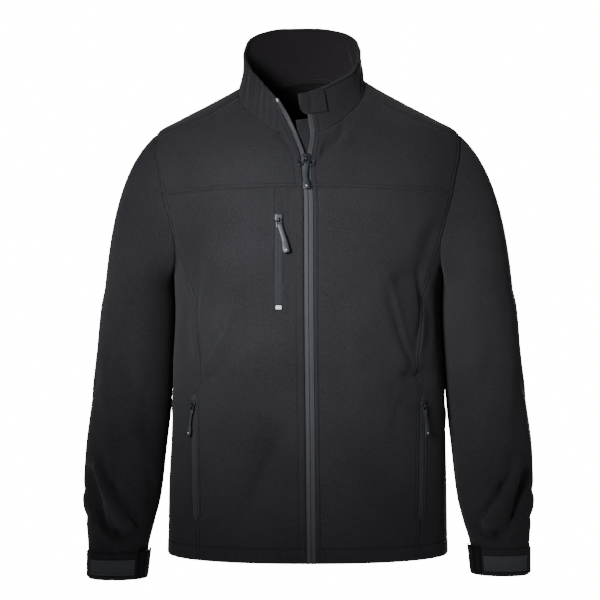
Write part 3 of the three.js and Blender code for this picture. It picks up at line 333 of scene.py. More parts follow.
# The wide folds of the solids, then the finer ones that the cloth shows
BODY_FOLDS = (
    *folds(
        FRONT,
        (-122, -338, -150, -410, 15, 4.5), (-140, -330, -160, -405, 12, -4),
        (-150, -432, -172, -436, 12, -5), (118, -285, 146, -405, 15, 4.5), (134, -290, 160, -400, 12, -5),
        (150, -428, 174, -432, 12, -5), (-165, -235, -140, -330, 22, -5), (178, -225, 150, -290, 20, -4),
        (-45, -515, -98, -625, 26, -4), (60, -560, 110, -660, 30, 3),
    ),
    *folds(
        BACK,
        (-60, -150, -150, -250, 24, 4), (60, -160, 155, -255, 24, 4), (-150, -300, -70, -430, 24, -5),
        (150, -310, 80, -420, 22, -5), (-70, -470, -90, -640, 26, 4), (60, -450, 85, -620, 28, 4),
        (-10, -400, 5, -560, 24, -4),
    ),
)
BODY_CREASES = (
    *strokes(
        FRONT,
        # Under the collar, on both sides of the open zip
        (-47, -60, -38, -76, -26, -94, 5, 2, -4.2), (-40, -58, -31, -74, -20, -92, 3, 4, 1.8),
        (54, -52, 50, -68, 38, -84, 22, -100, 2.2, 7, -6.4), (66, -58, 60, -76, 46, -94, 6, 4, 2.2),
        (36, -66, 26, -84, 17, -104, 4, 2.2, -3.6),
        # From the chest down to the pinch above each hand pocket
        (-117, -322, -127, -358, -150, -404, 3, 10, -6.8),
        (-164, -268, -169, -312, -166, -356, -160, -396, 5, 6, -4.2),
        (-162, -330, -168, -372, -166, -415, 5, 6, 2.2),
        (118, -292, 128, -330, 140, -372, 156, -408, 3, 10, -7.2),
        (136, -286, 147, -328, 157, -372, 9, 8, 2.8),
        (166, -268, 171, -310, 169, -350, 163, -392, 6, 5, -4.2),
        (170, -318, 172, -360, 166, -410, 5, 6, 2.2), (-176, -424, -158, -433, -138, -430, 3, 6, -3.2),
        (178, -422, 160, -431, 142, -428, 3, 6, -3.2), (-150, -446, -128, -474, -116, -510, 5, 9, -1.8),
        (150, -448, 132, -480, 124, -520, 9, 5, -1.8),
        # Faint sags over the belly
        (-36, -505, -62, -560, -92, -628, 16, 9, -3.6), (-70, -470, -86, -540, -112, -600, 14, 18, 1.6),
        (58, -330, 76, -420, 80, -500, 22, 16, 1.4), (44, -560, 70, -610, 104, -660, 12, 16, -1.6),
        # Beside the armholes
        (-190, -196, -172, -250, -160, -300, 9, 14, -3), (-176, -176, -154, -232, -140, -282, 10, 12, 1.6),
        (196, -190, 182, -240, 168, -290, 14, 9, -3), (178, -172, 162, -228, 150, -276, 12, 10, 1.6),
    ),
    *strokes(
        BACK,
        # The back: sags from the shoulder blades and at the waist
        (-198, -205, -158, -262, -112, -330, 11, 16, -3), (204, -200, 160, -256, 108, -318, 16, 11, -3),
        (-150, -352, -92, -372, -30, -366, 9, 15, -2.4), (146, -362, 88, -386, 34, -380, 14, 9, -2.4),
        (-128, -402, -60, -428, 8, -424, 12, 9, 2), (130, -420, 70, -442, 16, -440, 9, 12, -1.8),
        (-96, -500, -84, -580, -96, -660, 14, 18, -2.2), (88, -486, 104, -570, 98, -648, 18, 14, -2.2),
        (-30, -64, -8, -84, 26, -80, 8, 12, -1.6),
    ),
    *strokes(
        Facing.RIGHT,
        # The sides under the arms
        (2, -266, 2, -350, 2, -440, 27, 27, 3.5), (2, -322, 2, -350, 2, -380, 14, 14, 0.8),
        (0, -458, 0, -505, 0, -560, 24, 24, -4.4), (-78, -300, -64, -352, -74, -412, 10, 8, -2.4),
        (70, -318, 54, -380, 64, -440, 9, 12, -2.2), (-44, -470, 6, -492, 52, -486, 12, 9, 1.8),
    ),
    *strokes(
        Facing.LEFT,
        (2, -268, 2, -370, 2, -478, 27, 27, 4.5), (2, -340, 2, -360, 2, -380, 14, 14, 1.1),
        (-76, -296, -62, -344, -72, -402, 8, 10, -2.4), (70, -326, 52, -372, 62, -436, 12, 9, -2.2),
        (-40, -478, 10, -500, 50, -490, 9, 12, 1.8),
    ),
)

# The sleeves' folds, with X counted out from the centre plane on both sides
SLEEVE_FOLDS = (
    *folds(
        FRONT,
        (310, -556, 292, -596, 10, -5), (292, -596, 253, -646, 8, -7), (316, -572, 270, -646, 15, 7),
        (334, -575, 316, -632, 10, -7), (312, -640, 284, -664, 9, -7), (284, -664, 254, -656, 8, -5),
        (300, -390, 268, -450, 20, -3), (322, -430, 322, -540, 16, -3),
    ),
    *folds(
        BACK,
        (320, -510, 250, -560, 13, 6), (325, -560, 245, -600, 12, -6), (330, -600, 255, -640, 13, 5),
        (305, -330, 235, -400, 22, 4),
    ),
)
SLEEVE_CREASES = (
    *strokes(
        FRONT,
        # The lobe above the cuff: its inner edge, its round end and the valley outside it
        (312, -560, 304, -582, 290, -606, 271, -632, 254, -655, 2, 6, -6),
        (256, -664, 272, -672, 290, -671, 306, -656, 320, -632, 6, 2.2, -6),
        (300, -604, 288, -628, 272, -650, 8, 7, 2.4), (328, -560, 322, -598, 307, -636, 9, 6, -6.5),
        (318, -596, 306, -622, 290, -648, 4, 5, -1.6),
        (322, -640, 308, -664, 286, -684, 262, -682, 5, 7, 1.6),
        # Long soft drags down the arm
        (268, -330, 280, -390, 262, -450, 12, 16, -3.4), (304, -350, 312, -420, 306, -500, 14, 10, 2.4),
        (236, -420, 246, -480, 240, -540, 9, 12, -1.8), (276, -470, 262, -520, 240, -560, 12, 9, 1.6),
        (244, -560, 232, -600, 238, -640, 8, 6, -1.8),
    ),
    *strokes(
        BACK,
        # Behind: folds across the elbow
        (330, -470, 296, -492, 250, -488, 7, 11, -2.8), (336, -528, 300, -548, 244, -540, 6, 9, -3),
        (334, -590, 298, -606, 240, -596, 8, 6, -2.8), (326, -640, 296, -652, 262, -640, 6, 9, -2.2),
        (300, -330, 270, -372, 232, -392, 14, 10, -2.4),
    ),
    *strokes(
        Facing.LEFT,
        # The outer side
        (-36, -420, -6, -470, -20, -530, 12, 9, -2.2), (44, -500, 16, -540, 30, -584, 8, 10, -2.6),
        (20, -570, -16, -604, -52, -612, 6, 9, -2.8), (24, -622, -20, -646, -62, -640, 8, 6, -2.2),
    ),
)


@dataclass(frozen=True)
class BodyForm:
    """The body surface: rounded sections whose sizes change with height.

    Each section is |x / half width|^power + |y / depth|^power = 1, with one depth in front
    and another behind. Columns: height, half width, depth in front, depth behind, power.
    """

    sections: Table = (
        (-730, 215, 130, 123, 2.3), (-655, 214, 129, 122, 2.3), (-544, 212, 128, 117, 2.35),
        (-470, 209, 127, 112, 2.35), (-400, 203.5, 127, 110, 2.35), (-340, 200, 129, 112, 2.35),
        (-300, 202, 129, 116, 2.3), (-270, 209, 128, 118, 2.3), (-240, 221, 126, 119, 2.25),
        (-200, 235, 121, 119, 2.2), (-150, 245, 112, 116, 2.12), (-100, 246, 100, 110, 2.05),
        (-75, 240, 90, 105, 2), (-57, 229, 80, 101, 2), (-39, 197, 69, 96, 2),
        (-15, 151, 49, 89, 2), (-2, 127, 35, 84, 2), (8, 109, 24, 80, 2), (20, 90, 16, 74, 2),
        (33, 70, 10, 66, 2), (50, 40, 4, 50, 2),
    )
    low: float = -140.0
    high: float = 50.0

    def __post_init__(self) -> None:
        """Turns the table into columns."""
        names = ("half_width", "front", "back", "power")
        for name, column in zip(names, columns(self.sections)):
            object.__setattr__(self, name, column)

    def point(self, bearing: Array, z: Array) -> Array:
        """Points of the surface at bearings in degrees and heights."""
        turn = np.radians(bearing)
        power = 2.0 / self.power(z)
        depth = np.where(np.cos(turn) > 0, self.front(z), self.back(z))
        x = self.half_width(z) * signed_power(np.sin(turn), power)
        y = -depth * signed_power(np.cos(turn), power)
        return np.stack(np.broadcast_arrays(x, y, z), axis=-1).astype(float)

    def at(self, places: Array) -> Array:
        """Points of the surface at an array of bearings and heights."""
        return self.point(places[..., 0], places[..., 1])

    def fullness(self, points: Array) -> Array:
        """How far out points lie: 1 on the surface, less inside it."""
        x, y, z = points[..., 0], points[..., 1], points[..., 2]
        power = self.power(z)
        depth = np.where(y < 0, self.front(z), self.back(z))
        return np.abs(x / self.half_width(z)) ** power + np.abs(y / depth) ** power

    def gradient(self, points: Array) -> Array:
        """The slope of the fullness; its upward part is a central difference of 1 mm."""
        x, y, z = points[..., 0], points[..., 1], points[..., 2]
        power = self.power(z)
        depth = np.where(y < 0, self.front(z), self.back(z))
        wide = self.half_width(z)
        step = np.array([0.0, 0.0, 0.5])
        upward = self.fullness(points + step) - self.fullness(points - step)
        return np.stack([power / wide * signed_power(x / wide, power - 1),
                         power / depth * signed_power(y / depth, power - 1), upward], axis=-1)

    def normal(self, points: Array) -> Array:
        """The outward directions of the surface at points of it."""
        return unit(self.gradient(points))

    def settle(self, points: Array) -> Array:
        """Points moved onto the surface by two Newton steps along the gradient."""
        for _ in range(2):
            slope = self.gradient(points)
            error = self.fullness(points) - 1.0
            points = points - slope * (error / np.sum(slope * slope, axis=-1))[..., None]
        return points

    def front_bearing(self, x: Array, z: Array) -> Array:
        """The bearing of the front surface where it is x from the centre plane."""
        share = np.clip(x / self.half_width(z), -1, 1)
        return np.degrees(np.arcsin(signed_power(share, self.power(z) / 2)))

    def back_bearing(self, x: Array, z: Array) -> Array:
        """The same on the back surface, counted on past 90 degrees."""
        return np.sign(x) * 180 - self.front_bearing(x, z)

    def height_over(self, x: Array, y: Array) -> Array:
        """The height of the surface over places in plan, found by halving."""
        def inside(z: Array) -> Array:
            """Whether heights over the places lie inside the surface."""
            return self.fullness(np.stack([x, y, z], axis=-1)) < 1

        low, high = halved(inside, np.full(np.shape(x), self.low), np.full(np.shape(x), self.high), 40)
        return (low + high) / 2

    def dressed(self, points: Array, offset: Array | float = 0.0) -> Array:
        """Surface points with the folds and creases, moved out by an offset."""
        normals = self.normal(points)
        height = relief_of(BODY_FOLDS + BODY_CREASES, points, normals) + offset
        return points + normals * height[..., None]


@dataclass(frozen=True)
class Seams:
    """The lines on the body surface along which the pieces meet."""

    form: BodyForm
    armhole_top: float = -62.0
    armhole_bottom: float = -270.0
    armhole_front: Pair = (28.2, 6.5)
    armhole_back: Pair = (26.0, 3.0)
    roundness: float = 0.6
    turn_shoulder: float = 19.0
    turn_yoke: float = 86.0
    turn_princess: float = 128.0
    turn_back: float = 242.0
    neck_centre: Pair = (-9.5, -10.0)
    neck_half: float = 97.0
    neck_front: float = 78.0
    neck_back: float = 76.0
    shoulder_bearing: float = 80.0
    shoulder_bend: Pair = (47.0, -60.0)
    yoke_lift: float = 1.6
    pocket_top: float = -461.0
    pocket_bottom: float = -637.0
    pocket_end: float = 7.0
    pocket_half: float = 4.4
    blend_from: float = -285.0
    zip_stitches: Pair = (10.8, 6.2)
    edge_rows: Table = (
        (-730, -2.3, 12), (-540, -3.9, 10.3), (-316, -6.2, 8), (-172, -6.8, 7.6),
        (-120, -9.6, 4.8), (-105, -10.9, 5.6), (-73, -21.5, 10.5), (-50, -29, 13),
    )
    side_rows: Table = (
        (-730, 164, 166), (-680, 165, 165), (-637, 168, 163), (-560, 170, 160),
        (-461, 171, 156), (-440, 168, 155), (-420, 165, 154), (-361, 171, 158),
        (-316, 175, 166), (-271, 187, 184), (-230, 198, 203),
    )

    def __post_init__(self) -> None:
        """Turns the tables into columns and finds where the neck seam starts."""
        right, left = columns(self.edge_rows)
        front, back = columns(self.side_rows)
        object.__setattr__(self, "edge_x", {Side.RIGHT: right, Side.LEFT: left})
        object.__setattr__(self, "seam_x", {"front": front, "back": back})
        object.__setattr__(self, "start", {side: self.neck_start(side) for side in Side})

    def zip_stitch(self, side: Side) -> float:
        """How far from a front edge its topstitching runs."""
        return self.zip_stitches[0 if side is Side.RIGHT else 1]

    def armhole(self, side: Side, turn: Array) -> Array:
        """Places on the armhole; turn goes round it in degrees, from its top to the front.

        The bearing is 90 less or more a width times |sin turn|^roundness, and the height
        follows the cosine.
        """
        angle = np.radians(turn)
        onward = np.sin(angle) > 0
        front = self.armhole_front[0] - self.armhole_front[1] * np.cos(angle)
        back = self.armhole_back[0] - self.armhole_back[1] * np.cos(angle)
        bulge = np.abs(np.sin(angle)) ** self.roundness
        bearing = 90 + np.where(onward, -front, back) * bulge
        middle = (self.armhole_top + self.armhole_bottom) / 2
        half = (self.armhole_top - self.armhole_bottom) / 2
        return np.stack([side.value * bearing, middle + half * np.cos(angle)], axis=-1)

    def armhole_z(self, side: Side, turn: float) -> float:
        """The height of the armhole at a turn."""
        return self.armhole(side, np.array(turn))[1]

    def armhole_turn(self, z: Array) -> Array:
        """The turn on the front half of the armhole at a height."""
        middle = (self.armhole_top + self.armhole_bottom) / 2
        half = (self.armhole_top - self.armhole_bottom) / 2
        return np.degrees(np.arccos(np.clip((z - middle) / half, -1, 1)))

    def neck_point(self, plan: Array) -> Array:
        """Points of the neck seam at plan bearings; 0 is the centre front."""
        turn = np.radians(np.asarray(plan, float))
        x = self.neck_centre[0] + self.neck_half * np.sin(turn)
        reach = np.where(np.cos(turn) > 0, self.neck_front, self.neck_back)
        y = self.neck_centre[1] - reach * np.cos(turn)
        return np.stack([x, y, self.form.height_over(x, y)], axis=-1)

    def neck_start(self, side: Side) -> float:
        """The plan bearing where the neck seam meets a front edge, found by halving."""
        def before(plan: Array) -> Array:
            """Whether the neck seam lies between the front edges there."""
            point = self.neck_point(plan)
            return side.value * (point[..., 0] - self.edge_x[side](point[..., 2])) < 0

        return float(halved(before, np.array(0.0), np.array(side.value * 30.0), 30)[0])

    def throat(self, side: Side, share: Array) -> Array:
        """Places of the front neck seam, from the front edge to the shoulder seam."""
        plan = mixed(self.start[side], side.value * self.shoulder_bearing, share)
        point = self.neck_point(plan)
        return np.stack([self.form.front_bearing(point[..., 0], point[..., 2]), point[..., 2]], -1)

    def throat_z(self, side: Side) -> float:
        """The height where the neck seam meets a front edge."""
        return float(self.throat(side, np.array(0.0))[1])

    def edge(self, side: Side, z: Array) -> Array:
        """Places on a front edge at some heights."""
        return np.stack([self.form.front_bearing(self.edge_x[side](z), z), z], axis=-1)

    def shoulder(self, side: Side, share: Array) -> Array:
        """Places of the forward shoulder seam, a parabola from the neck to the armhole."""
        start = self.throat(side, np.array(1.0))
        end = self.armhole(side, np.array(self.turn_shoulder))
        bend = np.array([side.value * self.shoulder_bend[0], self.shoulder_bend[1]])
        t = np.asarray(share, float)[..., None]
        return (1 - t) ** 2 * start + 2 * t * (1 - t) * bend + t * t * end

    def yoke(self, side: Side, share: Array) -> Array:
        """Places of the yoke seam, from the front edge to the armhole."""
        start = self.edge(side, np.array(YOKE_FRONT_Z))
        end = self.armhole(side, np.array(self.turn_yoke))
        t = np.asarray(share, float)
        return np.stack([mixed(start[0], end[0], t), mixed(start[1], end[1], t ** self.yoke_lift)], -1)

    def pocket_opening(self, z: Array) -> Array:
        """How far the seam opens round a hand pocket, on each side of its line."""
        bottom, top, end = self.pocket_bottom, self.pocket_top, self.pocket_end
        opened = ramp(z, bottom - end, bottom + end / 2)
        return self.pocket_half * opened * (1 - ramp(z, top - end / 2, top + end))

    def side_seam(self, side: Side, which: str, z: Array, shift: float) -> Array:
        """Places on the front or back side seam; shift opens it round the pocket."""
        turn = self.turn_princess if which == "front" else self.turn_back
        end = self.armhole(side, np.array(turn))
        end_x = abs(self.form.at(end)[0])
        table = self.seam_x[which]
        share = np.clip((z - self.blend_from) / (end[1] - self.blend_from), 0, 1)
        away = table(z) + (end_x - table(end[1])) * share ** 2 + shift * self.pocket_opening(z)
        bearing = self.form.front_bearing if which == "front" else self.form.back_bearing
        return np.stack([bearing(side.value * away, z), z], axis=-1)


class Ridge:
    """The surface as distances from its ridge, for the piece that goes over the shoulders.

    A place is x and the distance along the profile at that x, measured from the profile's
    top and counted down the back as negative.
    """

    def __init__(self, form: BodyForm) -> None:
        """Works out the profiles' lengths on a table of x against steps."""
        self.form = form
        self.steps = 320
        self.power = 2.2
        self.x = np.arange(0.0, 241.0, 1.5)
        self.length_step = 1.0
        self.tables = {face: self.profile_table(face) for face in (-1, 1)}

    def top(self, x: Array) -> Array:
        """The ridge's height over x, found by halving."""
        low, high = np.full(np.shape(x), self.form.low), np.full(np.shape(x), self.form.high)
        return halved(lambda z: self.form.half_width(z) > np.abs(x), low, high, 40)[0]

    def height(self, top: Array, step: Array) -> Array:
        """The height at a step down the profile, finer near the ridge."""
        return top - (top - HEM_Z + 20) * (step / self.steps) ** self.power

    def depth(self, x: Array, z: Array, face: int) -> Array:
        """The Y of the surface at x and z on one face."""
        share = np.minimum(np.abs(x) / self.form.half_width(z), 1)
        power = self.form.power(z)
        reach = self.form.back(z) if face > 0 else self.form.front(z)
        return face * (1 - share ** power) ** (1 / power) * reach

    def profile_table(self, face: int) -> tuple[Array, Array]:
        """Lengths at each step, and the step at each length, for every x of the table."""
        step = np.arange(self.steps + 1)
        z = self.height(self.top(self.x)[:, None], step[None])
        y = self.depth(self.x[:, None], z, face)
        length = np.concatenate(
            [np.zeros((len(self.x), 1)), np.cumsum(np.hypot(np.diff(y), np.diff(z)), axis=1)], axis=1)
        at = np.arange(0.0, length[:, -1].max(), self.length_step)
        back = np.stack([np.interp(at, row, step) for row in length])
        return length, back

    def look_up(self, table: Array, x: Array, place: Array) -> Array:
        """A table's value between its rows along x and its columns, weighted linearly."""
        row = np.clip(np.abs(x) / (self.x[1] - self.x[0]), 0, len(self.x) - 1.001)
        col = np.clip(place, 0, table.shape[1] - 1.001)
        i, k = row.astype(int), col.astype(int)
        s, t = row - i, col - k
        near = table[i, k] * (1 - t) + table[i, k + 1] * t
        far = table[i + 1, k] * (1 - t) + table[i + 1, k + 1] * t
        return near * (1 - s) + far * s

    def distance(self, points: Array) -> Array:
        """The distances of surface points from the ridge."""
        x, y, z = points[..., 0], points[..., 1], points[..., 2]
        top = self.top(x)
        share = np.clip((top - z) / (top - HEM_Z + 20), 0, 1)
        step = self.steps * share ** (1 / self.power)
        front = self.look_up(self.tables[-1][0], x, step)
        back = self.look_up(self.tables[1][0], x, step)
        return np.where(y < 0, front, -back)

    def point(self, x: Array, distance: Array) -> Array:
        """The surface points at x and at distances from the ridge."""
        place = np.abs(distance) / self.length_step
        step = np.where(distance > 0, self.look_up(self.tables[-1][1], x, place),
                        self.look_up(self.tables[1][1], x, place))
        z = self.height(self.top(x), step)
        y = np.where(distance > 0, self.depth(x, z, -1), self.depth(x, z, 1))
        return np.stack([x, y, z], axis=-1)


Line = Callable[[Array], Array]


def coons(bottom: Line, top: Line, start: Line, end: Line, u: Array, v: Array) -> Array:
    """Fills a patch between four lines.

    Each place is the blend across, plus the blend along, less the blend of the corners.

    Args:
        bottom: the line at v = 0, as a function of u.
        top: the line at v = 1.
        start: the line at u = 0, as a function of v.
        end: the line at u = 1.
        u: shares across.
        v: shares up.

    Returns:
        The places, one row for each v.
    """
    across, up = u[None, :, None], v[:, None, None]
    ends = np.array([0.0, 1.0])
    low, high = bottom(ends), top(ends)
    corners = ((1 - across) * (1 - up) * low[0] + across * (1 - up) * low[1]
               + (1 - across) * up * high[0] + across * up * high[1])
    return ((1 - across) * start(v)[:, None] + across * end(v)[:, None]
            + (1 - up) * bottom(u)[None] + up * top(u)[None] - corners)


def hem_line(start: Line, end: Line) -> Line:
    """The straight line between the first places of two lines."""
    first = np.array([0.0])
    return lambda u: mixed(start(first)[0], end(first)[0], u[:, None])


# Meshes

@dataclass
class Skin:
    """Vertices in millimetres, four-sided faces, their UV corners and material numbers."""

    points: Array
    faces: Array
    uv: Array
    slots: Array

    @staticmethod
    def joined(skins: Sequence["Skin"]) -> "Skin":
        """Several skins as one, side by side."""
        start = np.cumsum([0] + [len(skin.points) for skin in skins[:-1]])
        return Skin(np.concatenate([skin.points for skin in skins]),
                    np.concatenate([skin.faces + first for skin, first in zip(skins, start)]),
                    np.concatenate([skin.uv for skin in skins]),
                    np.concatenate([skin.slots for skin in skins]))

    def faced_out(self, corners: bool = True) -> "Skin":
        """Turns the faces over where they point in, and with them their UV corners if asked."""
        if signed_volume(self.points, self.faces) < 0:
            self.faces = self.faces[:, ::-1]
            if corners:
                self.uv = self.uv[:, ::-1]
        return self


def grid_faces(rows: int, cols: int, ring: bool) -> Array:
    """The vertex numbers of a grid's faces; a ring joins its last column to its first."""
    j, i = np.meshgrid(np.arange(rows - 1), np.arange(cols if ring else cols - 1), indexing="ij")
    onward = (i + 1) % cols
    return np.stack([j * cols + i, j * cols + onward, (j + 1) * cols + onward,
                     (j + 1) * cols + i], axis=-1).reshape(-1, 4)


def grid_uv(points: Array, ring: bool) -> Array:
    """UV corners of a grid's faces: running lengths across and up, in metres."""
    across = run_along(points, 1, ring)
    up = run_along(points, 0)
    if ring:
        up = np.concatenate([up, up[:, :1]], axis=1)
    place = np.stack([across, up], axis=-1) / METRE
    corners = np.stack([place[:-1, :-1], place[:-1, 1:], place[1:, 1:], place[1:, :-1]], axis=2)
    return corners.reshape(-1, 4, 2)


def signed_volume(points: Array, faces: Array) -> float:
    """Six times the volume inside a closed skin, positive where its faces point out."""
    a, b, c, d = (points[faces[:, k]] for k in range(4))
    return float(np.sum(a * np.cross(b, c)) + np.sum(a * np.cross(c, d)))


def shell(outer: Array, inner: Array, ring: bool = False, inner_slot: int = 1,
          rim_slot: int = 0) -> Skin:
    """Closes the space between two equal grids of points into one wall.

    Args:
        outer: rows and columns of points on the outside.
        inner: the same on the inside.
        ring: whether the columns close into a ring.
        inner_slot: the material number of the inside.
        rim_slot: the material number of the rim.

    Returns:
        A closed skin whose faces point out.
    """
    rows, cols = outer.shape[:2]
    count = rows * cols
    number = np.arange(count).reshape(rows, cols)
    face = grid_faces(rows, cols, ring)
    uv = grid_uv(outer, ring)
    faces = [face, face[:, ::-1] + count]
    corners = [uv, uv[:, ::-1]]
    slots = [np.zeros(len(face)), np.full(len(face), inner_slot)]
    lines = [(number[0], True), (number[-1], False)]
    if not ring:
        lines += [(number[:, 0], False), (number[:, -1], True)]
    for line, turned in lines:
        line = np.append(line, line[0]) if ring else line
        quad = np.stack([line[:-1], line[:-1] + count, line[1:] + count, line[1:]], axis=-1)
        quad = quad if turned else quad[:, ::-1]
        run = np.arange(len(quad)) * CLOTH / METRE
        flat = np.zeros((len(quad), 4, 2))
        flat[..., 0] = run[:, None]
        faces.append(quad)
        corners.append(flat)
        slots.append(np.full(len(quad), rim_slot))
    points = np.concatenate([outer.reshape(-1, 3), inner.reshape(-1, 3)])
    skin = Skin(points, np.concatenate(faces), np.concatenate(corners), np.concatenate(slots))
    return skin.faced_out()


def tube(rings: Array) -> Skin:
    """Closes a stack of rings of points into one solid, with a pole at both ends."""
    count = rings.shape[1]
    first = np.repeat(rings[:1].mean(axis=1, keepdims=True), count, axis=1)
    last = np.repeat(rings[-1:].mean(axis=1, keepdims=True), count, axis=1)
    grid = np.concatenate([first, rings, last])
    faces = grid_faces(len(grid), count, True)
    return Skin(grid.reshape(-1, 3), faces, grid_uv(grid, True), np.zeros(len(faces))).faced_out()


def copies(local: Array, faces: Array, centre: Array, frame: Array) -> tuple[Array, Array]:
    """Copies of a small body, as points and faces.

    Args:
        local: the body's points in its own frame.
        faces: its faces.
        centre: the copies' places.
        frame: the three directions of each copy.

    Returns:
        The points and faces of all copies.
    """
    points = centre[:, None] + np.einsum("vk,nkc->nvc", local, frame)
    first = len(local) * np.arange(len(centre))[:, None, None]
    return points.reshape(-1, 3), (faces[None] + first).reshape(-1, 4)


def make_piece(name: str, skin: Skin, materials: Sequence[Material]) -> Object:
    """Makes an object at the origin from a skin.

    Args:
        name: the object's name.
        skin: the surface in millimetres.
        materials: the material of each material number.

    Returns:
        The new object.
    """
    mesh = bpy.data.meshes.new(name)
    mesh.from_pydata((skin.points / METRE).tolist(), [], skin.faces.tolist())
    layer = mesh.uv_layers.new(name="cloth")
    layer.data.foreach_set("uv", skin.uv.astype(np.float32).ravel())
    mesh.polygons.foreach_set("material_index", skin.slots.astype(np.int32))
    mesh.polygons.foreach_set("use_smooth", np.ones(len(skin.faces), bool))
    for material in materials:
        mesh.materials.append(material)
    mesh.validate()
    mesh.update()
    piece = bpy.data.objects.new(name, mesh)
    bpy.context.scene.collection.objects.link(piece)
    LOG.info("%s: %d faces", name, len(mesh.polygons))
    return piece


def merge_doubles(piece: Object, distance: float = 1e-7) -> None:
    """Merges the points that share a place, such as those of a pole."""
    held = bmesh.new()
    held.from_mesh(piece.data)
    bmesh.ops.remove_doubles(held, verts=held.verts, dist=distance)
    bmesh.ops.dissolve_degenerate(held, edges=held.edges, dist=distance)
    held.to_mesh(piece.data)
    held.free()


# Finishes

@dataclass(frozen=True)
class Cloth:
    """A woven or brushed cloth: two shades mixed by a heather, with a fine raised weave."""

    name: str
    dark: Triple
    light: Triple
    roughness: float = 0.9
    sheen: float = 0.25
    heather: float = 620.0
    thread: float = 0.9
    relief: float = 0.5
    brushed: bool = False
    sheen_roughness: float = 0.5
    specular: float = 0.25
    cloud: float = 9.0
    cloud_share: float = 0.35
    spread: Pair = (0.42, 0.94)

    def material(self) -> Material:
        """Builds the material's nodes."""
        material, tree, shader = plain_shader(self.name)
        set_inputs(shader, {"Roughness": self.roughness, "Sheen Weight": self.sheen,
                            "Sheen Roughness": self.sheen_roughness,
                            "Specular IOR Level": self.specular})
        place = tree.nodes.new("ShaderNodeTexCoord")
        grain = noise(tree, place.outputs["Object"], self.heather, 3.0, 0.7)
        cloud = noise(tree, place.outputs["Object"], self.cloud, 2.0, 0.5)
        total = math_node(tree, "MULTIPLY_ADD", cloud, self.cloud_share, grain)
        spread = tree.nodes.new("ShaderNodeMapRange")
        set_inputs(spread, {"From Min": self.spread[0], "From Max": self.spread[1]})
        tree.links.new(total, spread.inputs["Value"])
        two_tone(tree, shader, spread.outputs["Result"], self.dark, self.light)
        if self.brushed:
            height = noise(tree, place.outputs["Object"], 900.0, 4.0, 0.6)
        else:
            height = weave(tree, place.outputs["UV"], self.thread)
        both = math_node(tree, "MULTIPLY_ADD", grain, 0.5, height)
        bump(tree, shader, both, self.relief, 0.0003)
        return material


@dataclass(frozen=True)
class Moulded:
    """A moulded or cast finish: one colour with slight blotches and fine scratches."""

    name: str
    colour: Triple
    roughness: float = 0.4
    metallic: float = 0.0
    coat: float = 0.0
    relief: float = 0.15
    specular: float = 0.3
    coat_roughness: float = 0.25
    blotch: float = 260.0
    scratch: float = 1500.0

    def material(self) -> Material:
        """Builds the material's nodes."""
        material, tree, shader = plain_shader(self.name)
        set_inputs(shader, {"Specular IOR Level": self.specular, "Metallic": self.metallic,
                            "Coat Weight": self.coat, "Coat Roughness": self.coat_roughness})
        place = tree.nodes.new("ShaderNodeTexCoord")
        blotch = noise(tree, place.outputs["Object"], self.blotch, 3.0, 0.6)
        dark, light = ([share * value for value in self.colour] for share in (0.8, 1.25))
        two_tone(tree, shader, blotch, dark, light)
        rough = math_node(tree, "MULTIPLY_ADD", blotch, 0.18, None, self.roughness - 0.09)
        tree.links.new(rough, shader.inputs["Roughness"])
        fine = noise(tree, place.outputs["Object"], self.scratch, 2.0, 0.5)
        bump(tree, shader, fine, self.relief, 0.0002)
        return material


def plain_shader(name: str) -> tuple[Material, Tree, Node]:
    """A new material with its node tree and its main shader."""
    material = bpy.data.materials.new(name)
    material.use_nodes = True
    tree = material.node_tree
    return material, tree, tree.nodes["Principled BSDF"]


def set_inputs(node: Node, values: dict[str, object]) -> None:
    """Sets a node's inputs by their names."""
    for name, value in values.items():
        node.inputs[name].default_value = value


def two_tone(tree: Tree, shader: Node, share: Socket,
             dark: Sequence[float], light: Sequence[float]) -> None:
    """Sets a mix of two colours by a share as the shader's base colour."""
    mix = tree.nodes.new("ShaderNodeMix")
    mix.data_type = "RGBA"
    set_inputs(mix, {"A": (*dark, 1), "B": (*light, 1)})
    tree.links.new(share, mix.inputs["Factor"])
    tree.links.new(mix.outputs["Result"], shader.inputs["Base Color"])


def noise(tree: Tree, place: Socket, scale: float, detail: float,
          roughness: float) -> Socket:
    """A noise pattern's value; scale is in waves to a metre."""
    node = tree.nodes.new("ShaderNodeTexNoise")
    set_inputs(node, {"Scale": scale, "Detail": detail, "Roughness": roughness})
    tree.links.new(place, node.inputs["Vector"])
    return node.outputs["Fac"]


def math_node(tree: Tree, operation: str, first: Socket,
              second: float, third: Socket | None = None,
              third_value: float = 0.0) -> Socket:
    """One math node on a value and a number, with a third value where it takes one."""
    node = tree.nodes.new("ShaderNodeMath")
    node.operation = operation
    tree.links.new(first, node.inputs[0])
    node.inputs[1].default_value = second
    node.inputs[2].default_value = third_value
    if third is not None:
        tree.links.new(third, node.inputs[2])
    return node.outputs[0]


def weave(tree: Tree, place: Socket, thread: float) -> Socket:
    """The height of a plain weave: bands across times bands along, thread in millimetres."""
    bands = []
    for direction in ("X", "Y"):
        wave = tree.nodes.new("ShaderNodeTexWave")
        wave.bands_direction = direction
        set_inputs(wave, {"Scale": math.pi / 10 / (thread / METRE), "Distortion": 0.6})
        tree.links.new(place, wave.inputs["Vector"])
        bands.append(wave.outputs["Fac"])
    node = tree.nodes.new("ShaderNodeMath")
    node.operation = "MULTIPLY"
    tree.links.new(bands[0], node.inputs[0])
    tree.links.new(bands[1], node.inputs[1])
    return node.outputs[0]


